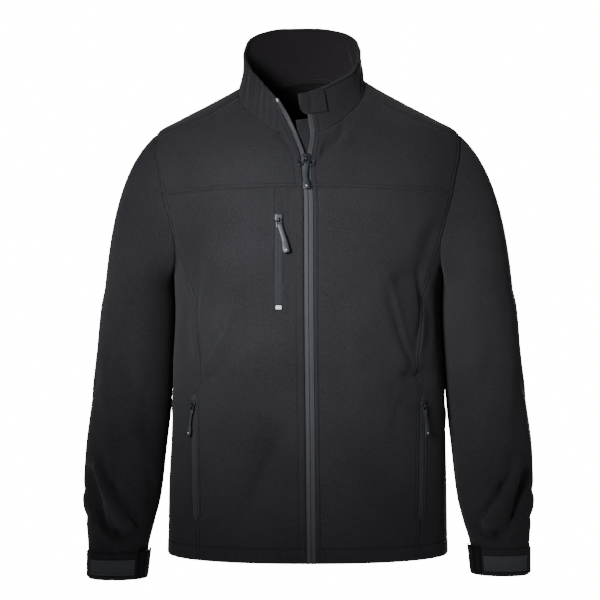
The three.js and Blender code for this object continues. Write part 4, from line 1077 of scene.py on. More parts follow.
def bump(tree: Tree, shader: Node, height: Socket,
         strength: float, distance: float) -> None:
    """Sets a height pattern as the shader's bump."""
    node = tree.nodes.new("ShaderNodeBump")
    set_inputs(node, {"Strength": strength, "Distance": distance})
    tree.links.new(height, node.inputs["Height"])
    tree.links.new(node.outputs["Normal"], shader.inputs["Normal"])


class Finishes:
    """Every material of the jacket, made once."""

    def __init__(self) -> None:
        """Builds the materials."""
        self.softshell = Cloth("softshell", (0.0030, 0.0030, 0.0044), (0.0190, 0.0190, 0.0232),
                               sheen=0.05).material()
        self.inside = Cloth("inside_fleece", (0.0012, 0.0012, 0.0014), (0.004, 0.004, 0.0045),
                            sheen=0.05, brushed=True).material()
        self.lining = Cloth("collar_lining", (0.0075, 0.0060, 0.0074), (0.0150, 0.0122, 0.0150),
                            roughness=1.0, sheen=0.08, brushed=True).material()
        self.tape = Cloth("zip_tape", (0.0145, 0.015, 0.0185), (0.039, 0.040, 0.049), sheen=0.08,
                          roughness=0.6, thread=0.8, heather=900.0).material()
        self.patch = Cloth("cuff_patch", (0.0170, 0.0185, 0.0225), (0.0560, 0.0590, 0.0690),
                           sheen=0.06).material()
        self.pocket_tape = Cloth("pocket_zip_tape", (0.0095, 0.0098, 0.0120), (0.0255, 0.0262, 0.0320),
                                 sheen=0.08, thread=0.45).material()
        # Pale thread: a lighter thread, whose colour is also a painted highlight along the cuff patch's
        # raised cords and the loop's ribs.
        self.pale_thread_and_highlight = Cloth("pale_thread_and_highlight", (0.030, 0.032, 0.038), (0.075, 0.078, 0.090),
                                 roughness=0.6, sheen=0.1, thread=0.3).material()
        self.thread = Cloth("sewing_thread", (0.0030, 0.0030, 0.0042), (0.0085, 0.0085, 0.0110),
                            roughness=0.6, sheen=0.05, thread=0.3).material()
        self.slider = Moulded("slider_paint", (0.007, 0.009, 0.012), 0.42, 0.2, 0.1).material()
        self.pull = Moulded("pull_rubber", (0.009, 0.012, 0.017), 0.48, 0.0, 0.06).material()
        self.stop = Moulded("stop_resin", (0.42, 0.43, 0.45), 0.4, 0.0, 0.2).material()
        self.loop = Moulded("loop_resin", (0.0018, 0.0021, 0.0028), 0.65, specular=0.15).material()


# Sub-assemblies

@dataclass(frozen=True)
class SeamEdge:
    """How the cloth looks along one edge of a piece.

    The edge rolls down into its seam. Where it is sewn through, the allowance underneath
    lifts the cloth as far as a groove that the thread pulls in.
    """

    roll: float = 1.0
    stitches: tuple[float, ...] = ()
    lift: float = 0.35
    groove: float = 1.0
    pucker: float = 0.42
    seed: float = 0.0
    roll_width: float = 1.3
    groove_width: float = 1.0
    fade: float = 9.0

    def height(self, distance: Array, along: Array, mask: Array | float = 1.0) -> Array:
        """Heights at distances from the edge and lengths along it.

        Args:
            distance: millimetres from the edge.
            along: running length along the edge, which spaces the puckers.
            mask: 1 where the stitching runs, 0 where it doesn't.

        Returns:
            Heights in millimetres.
        """
        total = -self.roll * bell(distance, self.roll_width)
        # Two waves of puckers, of unlike lengths, that swell and die down along the edge
        wave = (np.sin(along / 4.1 + 1.7 * self.seed) * np.sin(along / 23.0 + self.seed)
                + 0.6 * np.sin(along / 2.6 + 2.9 * self.seed + np.sin(along / 17.0)))
        near = ramp(distance, 0.3, 3.5) * np.exp(-distance / self.fade)
        total = total + self.pucker * wave * near
        for at in self.stitches:
            lifted = self.lift * ramp(distance, 0.8, 2.2) * (1 - ramp(distance, at - 1.5, at + 0.5))
            total = total + mask * (lifted - self.groove * bell(distance - at, self.groove_width))
        return total


@dataclass(frozen=True)
class PanelPlan:
    """One cloth panel of the body: its points on the form, its edges and where they are sewn."""

    name: str
    points: Array
    start: SeamEdge
    end: SeamEdge
    bottom: SeamEdge
    top: SeamEdge
    start_mask: Array | float = 1.0
    end_mask: Array | float = 1.0
    top_mask: Array | float = 1.0
    inner_follow: float = 0.4

    def surface(self, form: BodyForm) -> tuple[Array, Array]:
        """The panel's outer and inner points, with its seams, folds and creases."""
        points = self.points
        across, up = run_along(points, 1), run_along(points, 0)
        from_end, from_top = across[:, -1:] - across, up[-1:] - up
        height = (self.start.height(across, up, self.start_mask)
                  + self.end.height(from_end, up, self.end_mask)
                  + self.bottom.height(up, across)
                  + self.top.height(from_top, across, self.top_mask))
        outer = form.dressed(points, height)
        inner = form.dressed(points, -CLOTH + np.minimum(height, 0) * self.inner_follow)
        return outer, inner


@dataclass(frozen=True)
class Sheet:
    """A cloth piece's cut: width and length in metres, and its area in square metres."""

    flat: Pair
    area: float


@dataclass
class BodyPanels:
    """The fronts, yokes, side panels and back, as shells on the body surface."""

    form: BodyForm
    seams: Seams
    finishes: Finishes
    gap: float = SEAM_GAP / 2
    chest_top: float = -152.0
    chest_bottom: float = -333.0
    welt_height: float = 2.1
    welt_groove: float = -0.7
    throat_share: float = 0.375
    seam_share: float = 12 / 21
    nape_share: float = 0.25
    hem: SeamEdge = SeamEdge(roll=0.9, stitches=(HEM_STITCH,), lift=0.6, pucker=0.35, seed=1.1)

    cuts = {
        "front_right": Sheet((0.24, 0.60), 0.1015), "front_left": Sheet((0.24, 0.60), 0.0995),
        "yoke_right": Sheet((0.23, 0.17), 0.0272), "yoke_left": Sheet((0.23, 0.17), 0.0290),
        "side_panel_right": Sheet((0.22, 0.50), 0.085), "side_panel_left": Sheet((0.22, 0.50), 0.085),
        "back": Sheet((0.56, 0.80), 0.305),
    }
    joins = {
        "front_right": ["yoke_right", "side_panel_right"], "front_left": ["yoke_left", "side_panel_left"],
        "yoke_right": ["front_right", "back"], "yoke_left": ["front_left", "back"],
        "side_panel_right": ["back"], "side_panel_left": ["back"],
        "back": ["yoke_right", "yoke_left"],
    }

    def inset(self, shares: Array, length: float) -> Array:
        """Shares drawn in at both ends by the seam's half gap."""
        trim = self.gap / length
        return trim + shares * (1 - 2 * trim)

    def front(self, side: Side) -> PanelPlan:
        """Lower front: zip edge, hem, curved side seam, armhole and yoke seam."""
        seams, form = self.seams, self.form
        top_z = seams.armhole_z(side, seams.turn_yoke)
        join_z = seams.armhole_z(side, seams.turn_princess)

        def end(v: Array) -> Array:
            """Up the curved side seam, then the armhole."""
            z = mixed(HEM_Z, top_z, v)
            low = seams.side_seam(side, "front", np.minimum(z, join_z), -1)
            high = seams.armhole(side, seams.armhole_turn(np.maximum(z, join_z)))
            return np.where((z > join_z)[..., None], high, low)

        def start(v: Array) -> Array:
            """Up the zip's edge."""
            return seams.edge(side, mixed(HEM_Z, YOKE_FRONT_Z, v))

        width, length = 195.0, 556.0
        bands = [(0, 5), (6 if side is Side.LEFT else 11, 3), (width - 3, 5)]
        if side is Side.RIGHT:
            bands += [(27.5, 3), (45.5, 3)]
        u = self.inset(graded(width, bands), width)
        v = self.inset(graded(length, [(0, 4), (HEM_STITCH, 4), (length - 2, 3)]), length)
        places = coons(hem_line(start, end), lambda share: seams.yoke(side, share), start, end, u, v)
        points = form.settle(form.at(places))
        zip_stitch = (seams.zip_stitch(side),)
        return PanelPlan(f"front_{side.word}", points, SeamEdge(0.7, zip_stitch, seed=0.3),
                         SeamEdge(1.1, (SIDE_STITCH,), seed=2.2), self.hem, SeamEdge(seed=0.8))

    def yoke(self, side: Side) -> PanelPlan:
        """Front yoke: yoke seam, front edge and neck seam, armhole and shoulder seam."""
        seams, form = self.seams, self.form
        throat_z = seams.throat_z(side)

        def start(v: Array) -> Array:
            """Up the front edge, then along the neck seam."""
            low = seams.edge(side, mixed(YOKE_FRONT_Z, throat_z, np.minimum(v / self.throat_share, 1)))
            high = seams.throat(side, np.maximum((v - self.throat_share) / (1 - self.throat_share), 0))
            return np.where((v > self.throat_share)[..., None], high, low)

        def end(v: Array) -> Array:
            """Up the armhole."""
            return seams.armhole(side, mixed(seams.turn_yoke, seams.turn_shoulder, v))

        width, length = 200.0, 130.0
        u = self.inset(graded(width, [(3, 5), (8, 4), (width - 3, 5)], coarse=3.6), width)
        v = graded(length, [(3, 5), (length - 1, 3)], coarse=3.2)
        nearest = np.argmin(np.abs(v - self.throat_share))
        v[nearest] = self.throat_share
        v = np.clip(v, self.gap / length, 1 - self.gap / length)
        places = coons(lambda share: seams.yoke(side, share), lambda share: seams.shoulder(side, share),
                       start, end, u, v)
        points = form.settle(form.at(places))
        zip_stitch = (seams.zip_stitch(side),)
        mask = (1 - ramp(v, self.throat_share - 0.06, self.throat_share))[:, None]
        return PanelPlan(f"yoke_{side.word}", points, SeamEdge(0.7, zip_stitch, seed=0.5),
                         SeamEdge(1.0, (YOKE_STITCH,), seed=1.4), SeamEdge(1.0, (YOKE_STITCH,), seed=0.9),
                         SeamEdge(seed=2.0), start_mask=mask)

    def side_panel(self, side: Side) -> PanelPlan:
        """Side panel: from the front side seam under the arm to the back side seam."""
        seams, form = self.seams, self.form
        front_z = seams.armhole_z(side, seams.turn_princess)
        back_z = seams.armhole_z(side, seams.turn_back)

        def start(v: Array) -> Array:
            """Up the front side seam."""
            return seams.side_seam(side, "front", mixed(HEM_Z, front_z, v), 1)

        def end(v: Array) -> Array:
            """Up the back side seam."""
            return seams.side_seam(side, "back", mixed(HEM_Z, back_z, v), 0)

        def top(u: Array) -> Array:
            """Along the foot of the armhole."""
            return seams.armhole(side, mixed(seams.turn_princess, seams.turn_back, u))

        width, length = 185.0, 460.0
        u = self.inset(graded(width, [(2, 5), (width - 1, 4)]), width)
        v = self.inset(graded(length, [(0, 4), (HEM_STITCH, 4), (length - 3, 5)]), length)
        places = coons(hem_line(start, end), top, start, end, u, v)
        points = form.settle(form.at(places))
        mask = ramp(seams.pocket_opening(points[:, :1, 2]), 0.5, 3.0)
        return PanelPlan(f"side_panel_{side.word}", points, SeamEdge(1.0, (POCKET_STITCH,), seed=0.1),
                         SeamEdge(seed=1.9), self.hem, SeamEdge(1.0, (YOKE_STITCH,), seed=0.6),
                         start_mask=mask)

    def back(self) -> PanelPlan:
        """The back: up both side seams and armholes, over the shoulders to the fronts."""
        seams, form = self.seams, self.form
        ridge = Ridge(form)
        back_z = seams.armhole_z(Side.RIGHT, seams.turn_back)
        full = 360.0 + seams.turn_shoulder

        def flat(places: Array) -> Array:
            """Places as x and the distance from the ridge."""
            points = form.at(places)
            return np.stack([points[..., 0], ridge.distance(points)], axis=-1)

        def side_line(side: Side, v: Array) -> Array:
            """Up a side seam, then along the armhole to the shoulder seam."""
            low = seams.side_seam(side, "back", mixed(HEM_Z, back_z, np.minimum(v / self.seam_share, 1)), 0)
            rest = np.maximum((v - self.seam_share) / (1 - self.seam_share), 0)
            high = seams.armhole(side, mixed(seams.turn_back, full, rest))
            return np.where((v > self.seam_share)[..., None], high, low)

        def bottom(u: Array) -> Array:
            """Along the hem, from the right side seam to the left one."""
            right = side_line(Side.RIGHT, np.array([0.0]))[0, 0] + 360
            left = side_line(Side.LEFT, np.array([0.0]))[0, 0]
            return flat(np.stack([mixed(right, left, u), np.full_like(u, HEM_Z)], axis=-1))

        def top(u: Array) -> Array:
            """Along the right shoulder seam, the nape and the left shoulder seam."""
            right = seams.shoulder(Side.RIGHT, 1 - np.clip(u / self.nape_share, 0, 1))
            left = seams.shoulder(Side.LEFT, np.clip((u - 1 + self.nape_share) / self.nape_share, 0, 1))
            plan = mixed(-seams.shoulder_bearing, seams.shoulder_bearing - 360,
                         np.clip((u - self.nape_share) / (1 - 2 * self.nape_share), 0, 1))
            nape = seams.neck_point(plan)
            nape = np.stack([nape[..., 0], ridge.distance(nape)], axis=-1)
            first, last = (u < self.nape_share)[:, None], (u > 1 - self.nape_share)[:, None]
            return np.where(first, flat(right), np.where(last, flat(left), nape))

        width, length = 560.0, 790.0
        u = self.inset(graded(width, [(3, 5), (width - 3, 5)], coarse=4.6), width)
        v = self.inset(graded(length, [(0, 4), (HEM_STITCH, 4), (length - 4, 6)], coarse=4.8), length)
        places = coons(bottom, top, lambda share: flat(side_line(Side.RIGHT, share)),
                       lambda share: flat(side_line(Side.LEFT, share)), u, v)
        points = ridge.point(places[..., 0], places[..., 1])
        shoulder = (1 - ramp(u, self.nape_share - 0.03, self.nape_share)
                    + ramp(u, 1 - self.nape_share, 1 - self.nape_share + 0.03))[None, :]
        edge = SeamEdge(1.0, (BACK_STITCH,), seed=0.4)
        return PanelPlan("back", points, edge, edge, self.hem, SeamEdge(1.0, (YOKE_STITCH,), seed=1.2),
                         top_mask=shoulder)

    def chest_window(self, outer: Array, normals: Array) -> Array:
        """Raises the welts of the chest pocket beside its zip, with a groove outside them."""
        x, z = outer[..., 0], outer[..., 2]
        away = np.abs(x - CHEST_X)
        above_foot = ramp(z, self.chest_bottom - 2, self.chest_bottom)
        reach = above_foot * (1 - ramp(z, self.chest_top, self.chest_top + 2))
        welt = self.welt_height * ramp(away, 5.9, 6.7) * (1 - ramp(away, 8.6, 9.4))
        groove = self.welt_groove * bell(away - 10.0, 0.8)
        return outer + normals * (reach * (welt + groove))[..., None]

    def build(self) -> None:
        """Makes every body panel."""
        plans = [self.back()]
        for side in Side:
            plans += [self.front(side), self.yoke(side), self.side_panel(side)]
        for plan in plans:
            outer, inner = plan.surface(self.form)
            if plan.name == "front_right":
                outer = self.chest_window(outer, self.form.normal(plan.points))
            piece = make_piece(f"{plan.name}_cloth", shell(outer, inner),
                               [self.finishes.softshell, self.finishes.inside])
            dress(piece, "softshell", plan.name)
            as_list(self.joins[plan.name])


def dress(piece: Object, slot: str, *nodes: str, body: str = "jacket") -> None:
    """Rides a piece on a body and lets it stand for nodes."""
    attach(piece, body)
    if nodes:
        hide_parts(*nodes)


def grid_normals(grid: Array, ring: bool, outside: float) -> Array:
    """Outward directions of a grid of points: the cross product of its two slopes."""
    if ring:
        across = np.roll(grid, -1, axis=1) - np.roll(grid, 1, axis=1)
    else:
        across = np.gradient(grid, axis=1)
    return unit(np.cross(across, np.gradient(grid, axis=0))) * outside


@dataclass
class Sleeves:
    """Both sleeves: a cap that swings out of the armhole, and an arm of rounded sections."""

    form: BodyForm
    seams: Seams
    finishes: Finishes
    power: float = 2.15
    cuff_right: float = -735.5
    cuff_left: float = -729.5
    hem_stitch: float = 27.0
    seam_turn: float = 206.0
    leave_side: Pair = (1.0, 0.2)
    leave_down: Pair = (-0.85, -1.0)
    leave_reach: Pair = (0.3, 0.33)
    arrive_in: float = 0.1
    arrive_reach: float = 0.36
    front_columns: int = 112
    back_columns: int = 68
    rows: Table = (
        (-750, 332, 249, 335, 254, -47, 31), (-722, 332.6, 245, 335, 249.6, -43, 34),
        (-687, 333.5, 241.2, 336, 246.3, -36, 42), (-651, 337.4, 232.8, 339.8, 236.3, -28, 52),
        (-616, 343.6, 224.4, 345.4, 228.2, -19, 58), (-544, 341, 216.8, 344.5, 220.5, -4, 62),
        (-470, 334, 209.5, 337.6, 213, 4, 65), (-396, 325, 206.5, 328, 208, 5, 68),
        (-322, 317, 204, 320.6, 205, 2, 71), (-300, 312, 205.5, 315, 206, 0, 72),
    )

    def __post_init__(self) -> None:
        """Turns the table into columns."""
        (self.outer_right, self.inner_right, self.outer_left, self.inner_left,
         self.middle, self.half) = columns(self.rows)
        front = np.linspace(0, 180, self.front_columns, endpoint=False)
        behind = np.linspace(180, 360, self.back_columns, endpoint=False)
        self.turns = np.concatenate([front, behind])

    def cuff_z(self, side: Side) -> float:
        """The height of a sleeve's end."""
        return self.cuff_left if side is Side.LEFT else self.cuff_right

    def point(self, side: Side, z: Array, turn: Array, offset: Array | float = 0.0) -> Array:
        """Points of an arm at heights and at turns in degrees from its outer side.

        The section is a rounded one in plan. Folds and creases push the points out along
        the section's own outward direction.
        """
        outer = self.outer_left(z) if side is Side.LEFT else self.outer_right(z)
        inner = self.inner_left(z) if side is Side.LEFT else self.inner_right(z)
        angle = np.radians(turn)
        across = signed_power(np.cos(angle), 2 / self.power)
        deep = signed_power(np.sin(angle), 2 / self.power)
        away = (outer + inner) / 2 + (outer - inner) / 2 * across
        y = self.middle(z) - self.half(z) * deep
        flat = np.stack(np.broadcast_arrays(away, y, z), axis=-1).astype(float)
        push = unit(np.stack(np.broadcast_arrays(across, -deep, 0.0 * z), axis=-1))
        height = relief_of(SLEEVE_FOLDS + SLEEVE_CREASES, flat, push) + offset
        flat = flat + push * height[..., None]
        return flat * np.array([side.value, 1, 1])

    def grid(self, side: Side) -> Array:
        """A sleeve's outer points, from the armhole over the cap and down the arm.

        The cap is a cubic curve round the armhole. It leaves sideways at the top and
        downwards below, and arrives at the arm from above.
        """
        turn = self.turns
        start = self.form.at(self.seams.armhole(side, turn))
        top = np.full_like(turn, SLEEVE_TOP_Z)
        target = self.point(side, top, turn)
        below = ((1 - np.cos(np.radians(turn))) / 2)[:, None]
        reach = np.linalg.norm(start - target, axis=1, keepdims=True)
        leave = unit(np.concatenate([side.value * mixed(*self.leave_side, below ** 2), 0 * below,
                                     mixed(*self.leave_down, below)], axis=1))
        leave = leave * reach * mixed(*self.leave_reach, below)
        arrive = np.concatenate([-side.value * self.arrive_in * (1 - below), 0 * below,
                                 1 + 0 * below], axis=1)
        arrive = arrive * reach * self.arrive_reach
        t = graded(150.0, [(0, 5)], coarse=4.4)[:, None, None]
        cap = ((1 - t) ** 3 * start + 3 * t * (1 - t) ** 2 * (start + leave)
               + 3 * t * t * (1 - t) * (target + arrive) + t ** 3 * target)
        cuff = self.cuff_z(side)
        length = SLEEVE_TOP_Z - cuff
        z = SLEEVE_TOP_Z - length * graded(
            length, [(length, 4), (length - self.hem_stitch, 3), (330, 60)], coarse=4.0, fine=1.0)[1:]
        arm = self.point(side, z[:, None] + 0 * turn[None], turn[None] + 0 * z[:, None])
        first = self.form.dressed(self.form.settle(start))
        cap[0] = first + unit(cap[1] - first) * SEAM_GAP
        return np.concatenate([cap, arm])

    def build(self) -> None:
        """Makes both sleeves."""
        for side in Side:
            grid = self.grid(side)
            normals = grid_normals(grid, True, side.value)
            normals[0] = unit(self.form.normal(grid[0]) * 0.85 + normals[0] * 0.15)
            down = run_along(grid, 0)
            from_cuff = down[-1:] - down
            around = run_along(grid, 1, True)[:, :-1]
            height = (SeamEdge(1.0, pucker=0.4, seed=0.7).height(down, around)
                      + SeamEdge(0.8, (self.hem_stitch,), lift=0.4, seed=1.6).height(from_cuff, around))
            height = height - 0.9 * bell(self.turns - self.seam_turn, 1.6)[None, :]
            outer = grid + normals * height[..., None]
            inner = grid - normals * CLOTH
            inner[0] = outer[0] - normals[0] * (CLOTH - 1.0)
            piece = make_piece(f"sleeve_{side.word}_cloth", shell(outer, inner, ring=True),
                               [self.finishes.softshell, self.finishes.inside])
            dress(piece, "softshell", f"sleeve_{side.word}")


@dataclass(frozen=True)
class Path:
    """Points up an edge, with directions across it, out of the cloth and up it."""

    point: Array
    across: Array
    out: Array
    up: Array

    @staticmethod
    def of(points: Array, inward: Array, side: Side) -> "Path":
        """A path from its points and the rough direction in which the cloth ends.

        The direction across is the inward one with its part along the path taken off, and
        both are averaged over neighbours, so that a strip along them doesn't kink.
        """
        up = unit(np.gradient(points, axis=0))
        kernel = np.hanning(11)[1:-1]
        padded = np.pad(unit(inward), ((4, 4), (0, 0)), mode="edge")
        weights = kernel / kernel.sum()
        soft_way = np.stack([np.convolve(padded[:, k], weights, "valid") for k in range(3)], -1)
        across = unit(soft_way - up * np.sum(soft_way * up, axis=1, keepdims=True))
        out = unit(np.cross(across, up)) * -side.value
        return Path(points, across, out, up)

    def strip(self, distance: Array, depth: Array) -> Array:
        """A grid of points: one row for each path point, one column for each distance.

        Args:
            distance: distances across, one for each column or for each point and column.
            depth: depths out of the cloth, of the same shape.
        """
        distance = np.broadcast_to(distance, (len(self.point), np.shape(distance)[-1]))
        depth = np.broadcast_to(depth, (len(self.point), np.shape(depth)[-1]))
        return (self.point[:, None] + self.across[:, None] * distance[..., None]
                + self.out[:, None] * depth[..., None])

    def part(self, first: int, last: int) -> "Path":
        """The path between two of its points."""
        return Path(self.point[first:last], self.across[first:last], self.out[first:last],
                    self.up[first:last])


@dataclass
class Threads:
    """Sewing threads: short stitches laid along lines on the cloth.

    A stitch is a bar of three square sections, the middle one thicker, turned on its edge.
    """

    length: float = 2.6
    pitch: float = 3.5
    radius: float = 0.36
    thick: float = 0.26

    def run(self, line: Array, normals: Array, lift: float = -0.12) -> Skin:
        """Stitches along a line of points.

        Args:
            line: the line's points, in millimetres.
            normals: outward directions at them.
            lift: how far the threads' middles lie above the line.

        Returns:
            The stitches as one skin.
        """
        run = run_along(line, 0)
        at = np.arange(self.pitch, run[-1] - self.pitch / 2, self.pitch)
        out = unit(sampled(at, run, normals))
        along = unit(sampled(at + 1, run, line) - sampled(at - 1, run, line))
        side = unit(np.cross(out, along))
        share = np.array([-0.5, 0.0, 0.5])
        size = np.array([0.5, 1.0, 0.5])
        corner = np.array([[1, 0], [0, 1], [-1, 0], [0, -1]], float)
        local = np.zeros((3, 4, 3))
        local[..., 0] = share[:, None] * self.length
        local[..., 1] = size[:, None] * corner[:, 0] * self.radius
        local[..., 2] = size[:, None] * corner[:, 1] * self.thick + lift
        local = local.reshape(-1, 3)
        quads = np.concatenate([grid_faces(3, 4, True), [[3, 2, 1, 0], [8, 9, 10, 11]]])
        points, faces = copies(local, quads, sampled(at, run, line), np.stack([along, side, out], axis=1))
        uv = points[faces][..., [0, 2]] / METRE
        return Skin(points, faces, uv, np.zeros(len(faces))).faced_out(corners=False)


def beads(centre: Array, along: Array, out: Array, size: Triple,
          sides: int = 8, rings: int = 4) -> Skin:
    """Small rounded beads, such as a zip's coil loops or a rivet.

    Args:
        centre: the beads' middles.
        along: each bead's first direction.
        out: each bead's third direction.
        size: half sizes along, across and out.
        sides: points round a ring.
        rings: rings between the poles.

    Returns:
        The beads as one skin, with rings at equal steps of latitude.
    """
    latitude = np.linspace(0.12, math.pi - 0.12, rings)
    turn = full_turn(sides)
    local = np.stack(np.broadcast_arrays(
        size[0] * np.cos(latitude)[:, None], size[1] * np.sin(latitude)[:, None] * np.cos(turn),
        size[2] * np.sin(latitude)[:, None] * np.sin(turn)), axis=-1)
    ball = tube(local)
    across = unit(np.cross(out, along))
    frame = np.stack([unit(along), across, unit(out)], axis=1)
    points, faces = copies(ball.points, ball.faces, centre, frame)
    uv = np.tile(ball.uv, (len(centre), 1, 1))
    return Skin(points, faces, uv, np.zeros(len(faces))).faced_out(corners=False)


def collar_creases(*rows: Sequence[float], bow: float = 2.0) -> tuple[Crease, ...]:
    """Creases of the collar, in millimetres along its seam and above it.

    A row gives both ends, the widths on the left and right, and a height. The middle of
    the line is moved along the seam by a bow.
    """
    return tuple(Crease(FRONT, ((x0, z0), ((x0 + x1) / 2 + bow, (z0 + z1) / 2), (x1, z1)), *rest)
                 for x0, z0, x1, z1, *rest in rows)


@dataclass
class Collar:
    """The stand collar: an outer layer, its lining, and the tape over the back neck seam."""

    form: BodyForm
    seams: Seams
    finishes: Finishes
    pull_in: float = -3.0
    bend_share: float = 0.45
    edge_stitch: float = 6.0
    front_stitch: float = 8.0
    tape_width: float = 7.0
    tape_depth: float = 0.95
    top_rows: Table = (
        (0, -48, -84, -17), (0.1, -70, -62, 11), (0.2, -90, -34, 38), (0.3, -99.5, 0, 64),
        (0.37, -95, 20, 84), (0.43, -77, 39, 100), (0.52, -32, 50, 110), (0.59, 12, 50, 110),
        (0.66, 58, 39, 101), (0.72, 77, 22, 86), (0.78, 82, 2, 66), (0.86, 72, -32, 36),
        (0.94, 36, -70, 10), (1, 2, -90, -7),
    )
    creases: tuple[Crease, ...] = collar_creases(
        (34, 4, 22, 62, 2, 4, -2.8), (48, 6, 40, 72, 3, 2.5, -2.6), (64, 2, 58, 66, 2, 4, -2.8),
        (82, 10, 80, 80, 4, 3, -2.2), (55, 8, 49, 58, 3, 3, 1.5), (41, 4, 31, 60, 2.5, 2.5, 1.2),
        (108, 4, 116, 50, 7, 5, -1.8), (95, 8, 98, 70, 5, 4, 1.4), (24, 2, 8, 40, 2.5, 4, -2.2),
        (150, 20, 190, 34, 9, 6, -1.2), (250, 26, 300, 14, 7, 9, -1.4), (356, 6, 372, 60, 5, 8, -2),
        (402, 4, 380, 66, 3, 8, -3.4), (424, 8, 408, 70, 5, 4, 2), (440, 6, 426, 62, 2.5, 5, -3.2),
        (462, 4, 452, 44, 3, 4, -2),
    )

    def __post_init__(self) -> None:
        """Turns the table into columns and works out the collar's points."""
        self.top_x, self.top_y, self.top_z = columns(self.top_rows)
        plan_from, plan_to = self.seams.start[Side.RIGHT], self.seams.start[Side.LEFT] - 360
        coarse = self.seams.neck_point(np.linspace(plan_from, plan_to, 400))
        length = run_along(coarse, 0)
        self.length = float(length[-1])
        share = graded(self.length, [(0, 6), (8, 4), (self.length - 8, 4), (self.length, 6)], coarse=3.4)
        plan = np.interp(share * self.length, length, np.linspace(plan_from, plan_to, 400))
        self.share = share
        self.rise = 0.003 + 0.997 * graded(80.0, [(0, 3), (74, 3), (80, 3)], coarse=3.0)
        self.grid = self.points(plan, share, self.rise)
        normals = grid_normals(self.grid, False, -1)
        seam = unit(self.form.normal(self.grid[0]) * 0.8 + normals * 0.2)
        blend = np.clip(1 - self.rise / 0.2, 0, 1)[:, None, None]
        self.normals = unit(normals * (1 - blend) + seam * blend)

    def points(self, plan: Array, share: Array, rise: Array) -> Array:
        """The collar's points: parabolas from the neck seam up to the top edge."""
        seam = self.seams.neck_point(plan)
        top = np.stack([self.top_x(share), self.top_y(share), self.top_z(share)], axis=-1)
        centre = np.array([*self.seams.neck_centre, 0])
        outward = unit((seam - centre) * np.array([1, 1, 0]))
        bend = mixed(seam, top, self.bend_share) + outward * self.pull_in
        t = rise[:, None, None]
        return (1 - t) ** 2 * seam + 2 * t * (1 - t) * bend + t * t * top

    def wrinkles(self) -> Array:
        """The heights of the collar's creases on its grid."""
        across = np.broadcast_to(self.share * self.length, self.grid.shape[:2])
        flat = np.stack([across, 0 * across, run_along(self.grid, 0)], axis=-1)
        return relief_of(self.creases, flat, np.broadcast_to([0.0, -1.0, 0.0], flat.shape))

    def edges(self, top_roll: float, front_roll: float, seeds: Triple) -> Array:
        """Heights of one layer beside its top edge and its two front ends.

        Args:
            top_roll: how far the top edge rolls in.
            front_roll: the same at the front ends.
            seeds: what sets the puckers of the top, first and last edge apart.
        """
        up, across = run_along(self.grid, 0), run_along(self.grid, 1)
        top = SeamEdge(top_roll, (self.edge_stitch,), seed=seeds[0])
        first, last = (SeamEdge(front_roll, (self.front_stitch,), seed=seed) for seed in seeds[1:])
        return (top.height(up[-1:] - up, across) + first.height(across, up)
                + last.height(across[:, -1:] - across, up))

    def build(self) -> list[Skin]:
        """Makes the layers and the neck tape, and gives back the collar's stitches."""
        up, across = run_along(self.grid, 0), run_along(self.grid, 1)
        wrinkles = self.wrinkles()
        seam = SeamEdge(pucker=0.5, seed=1.3).height(up, across)
        height = wrinkles + self.edges(0.9, 0.6, (0.2, 0.9, 1.9)) + seam
        outer = self.grid + self.normals * height[..., None]
        inner = self.grid + self.normals * (wrinkles - CLOTH)[..., None]
        piece = make_piece("collar_outer_cloth", shell(outer, inner), [self.finishes.softshell] * 2)
        dress(piece, "softshell", "collar_outer")
        top = self.grid + self.normals * (wrinkles - CLOTH - SEAM_GAP)[..., None]
        low_edges = self.edges(0.7, 0.5, (2.2, 0.4, 2.4))
        low = self.grid + self.normals * (wrinkles - CLOTH - SEAM_GAP - LINING - low_edges)[..., None]
        lining = make_piece("collar_lining_cloth", shell(top, low), [self.finishes.lining] * 2)
        dress(lining, "collar_lining", "collar_lining")
        self.tape()
        return self.stitches(outer, low)

    def tape(self) -> None:
        """The tape that covers the back neck seam on the inside."""
        span = (180 - self.seams.shoulder_bearing) / 6
        plan = np.linspace(-self.seams.shoulder_bearing - span, self.seams.shoulder_bearing + span - 360, 90)
        seam = self.seams.neck_point(plan)
        normal = self.form.normal(seam)
        along = unit(np.gradient(seam, axis=0))
        down = unit(np.cross(normal, along))
        down = down * -np.sign(down[..., 2:3])
        width = 0.5 + (self.tape_width - 0.5) * np.linspace(0, 1, 9)
        grid = self.form.settle(seam[None] + down[None] * width[:, None, None])
        normals = self.form.normal(grid)
        share = np.linspace(0, 1, 9)[:, None]
        crown = 0.4 * (1 - (2 * share - 1) ** 4)
        depth = CLOTH + self.tape_depth
        near = grid - normals * depth
        far = grid - normals * (depth + 0.7 + crown)[..., None]
        piece = make_piece("neck_tape_band", shell(near, far), [self.finishes.lining] * 2)
        dress(piece, "zip_tape", "neck_tape")

    def stitches(self, outer: Array, lining: Array) -> list[Skin]:
        """Threads along the top and front edges, outside and inside."""
        threads = Threads()
        runs = []
        for grid, way in ((outer, 1.0), (lining, -1.0)):
            up = run_along(grid, 0)
            row = int(np.argmin(np.abs((up[-1:] - up).mean(axis=1) - self.edge_stitch)))
            first = int(np.argmin(np.abs(self.share * self.length - self.front_stitch)))
            last = len(self.share) - 1 - first
            across = slice(first, last + 1)
            runs.append(threads.run(grid[row, across], way * self.normals[row, across], 0.0))
            for col in (first, last):
                runs.append(threads.run(grid[1:row, col], way * self.normals[1:row, col], 0.0))
        return runs


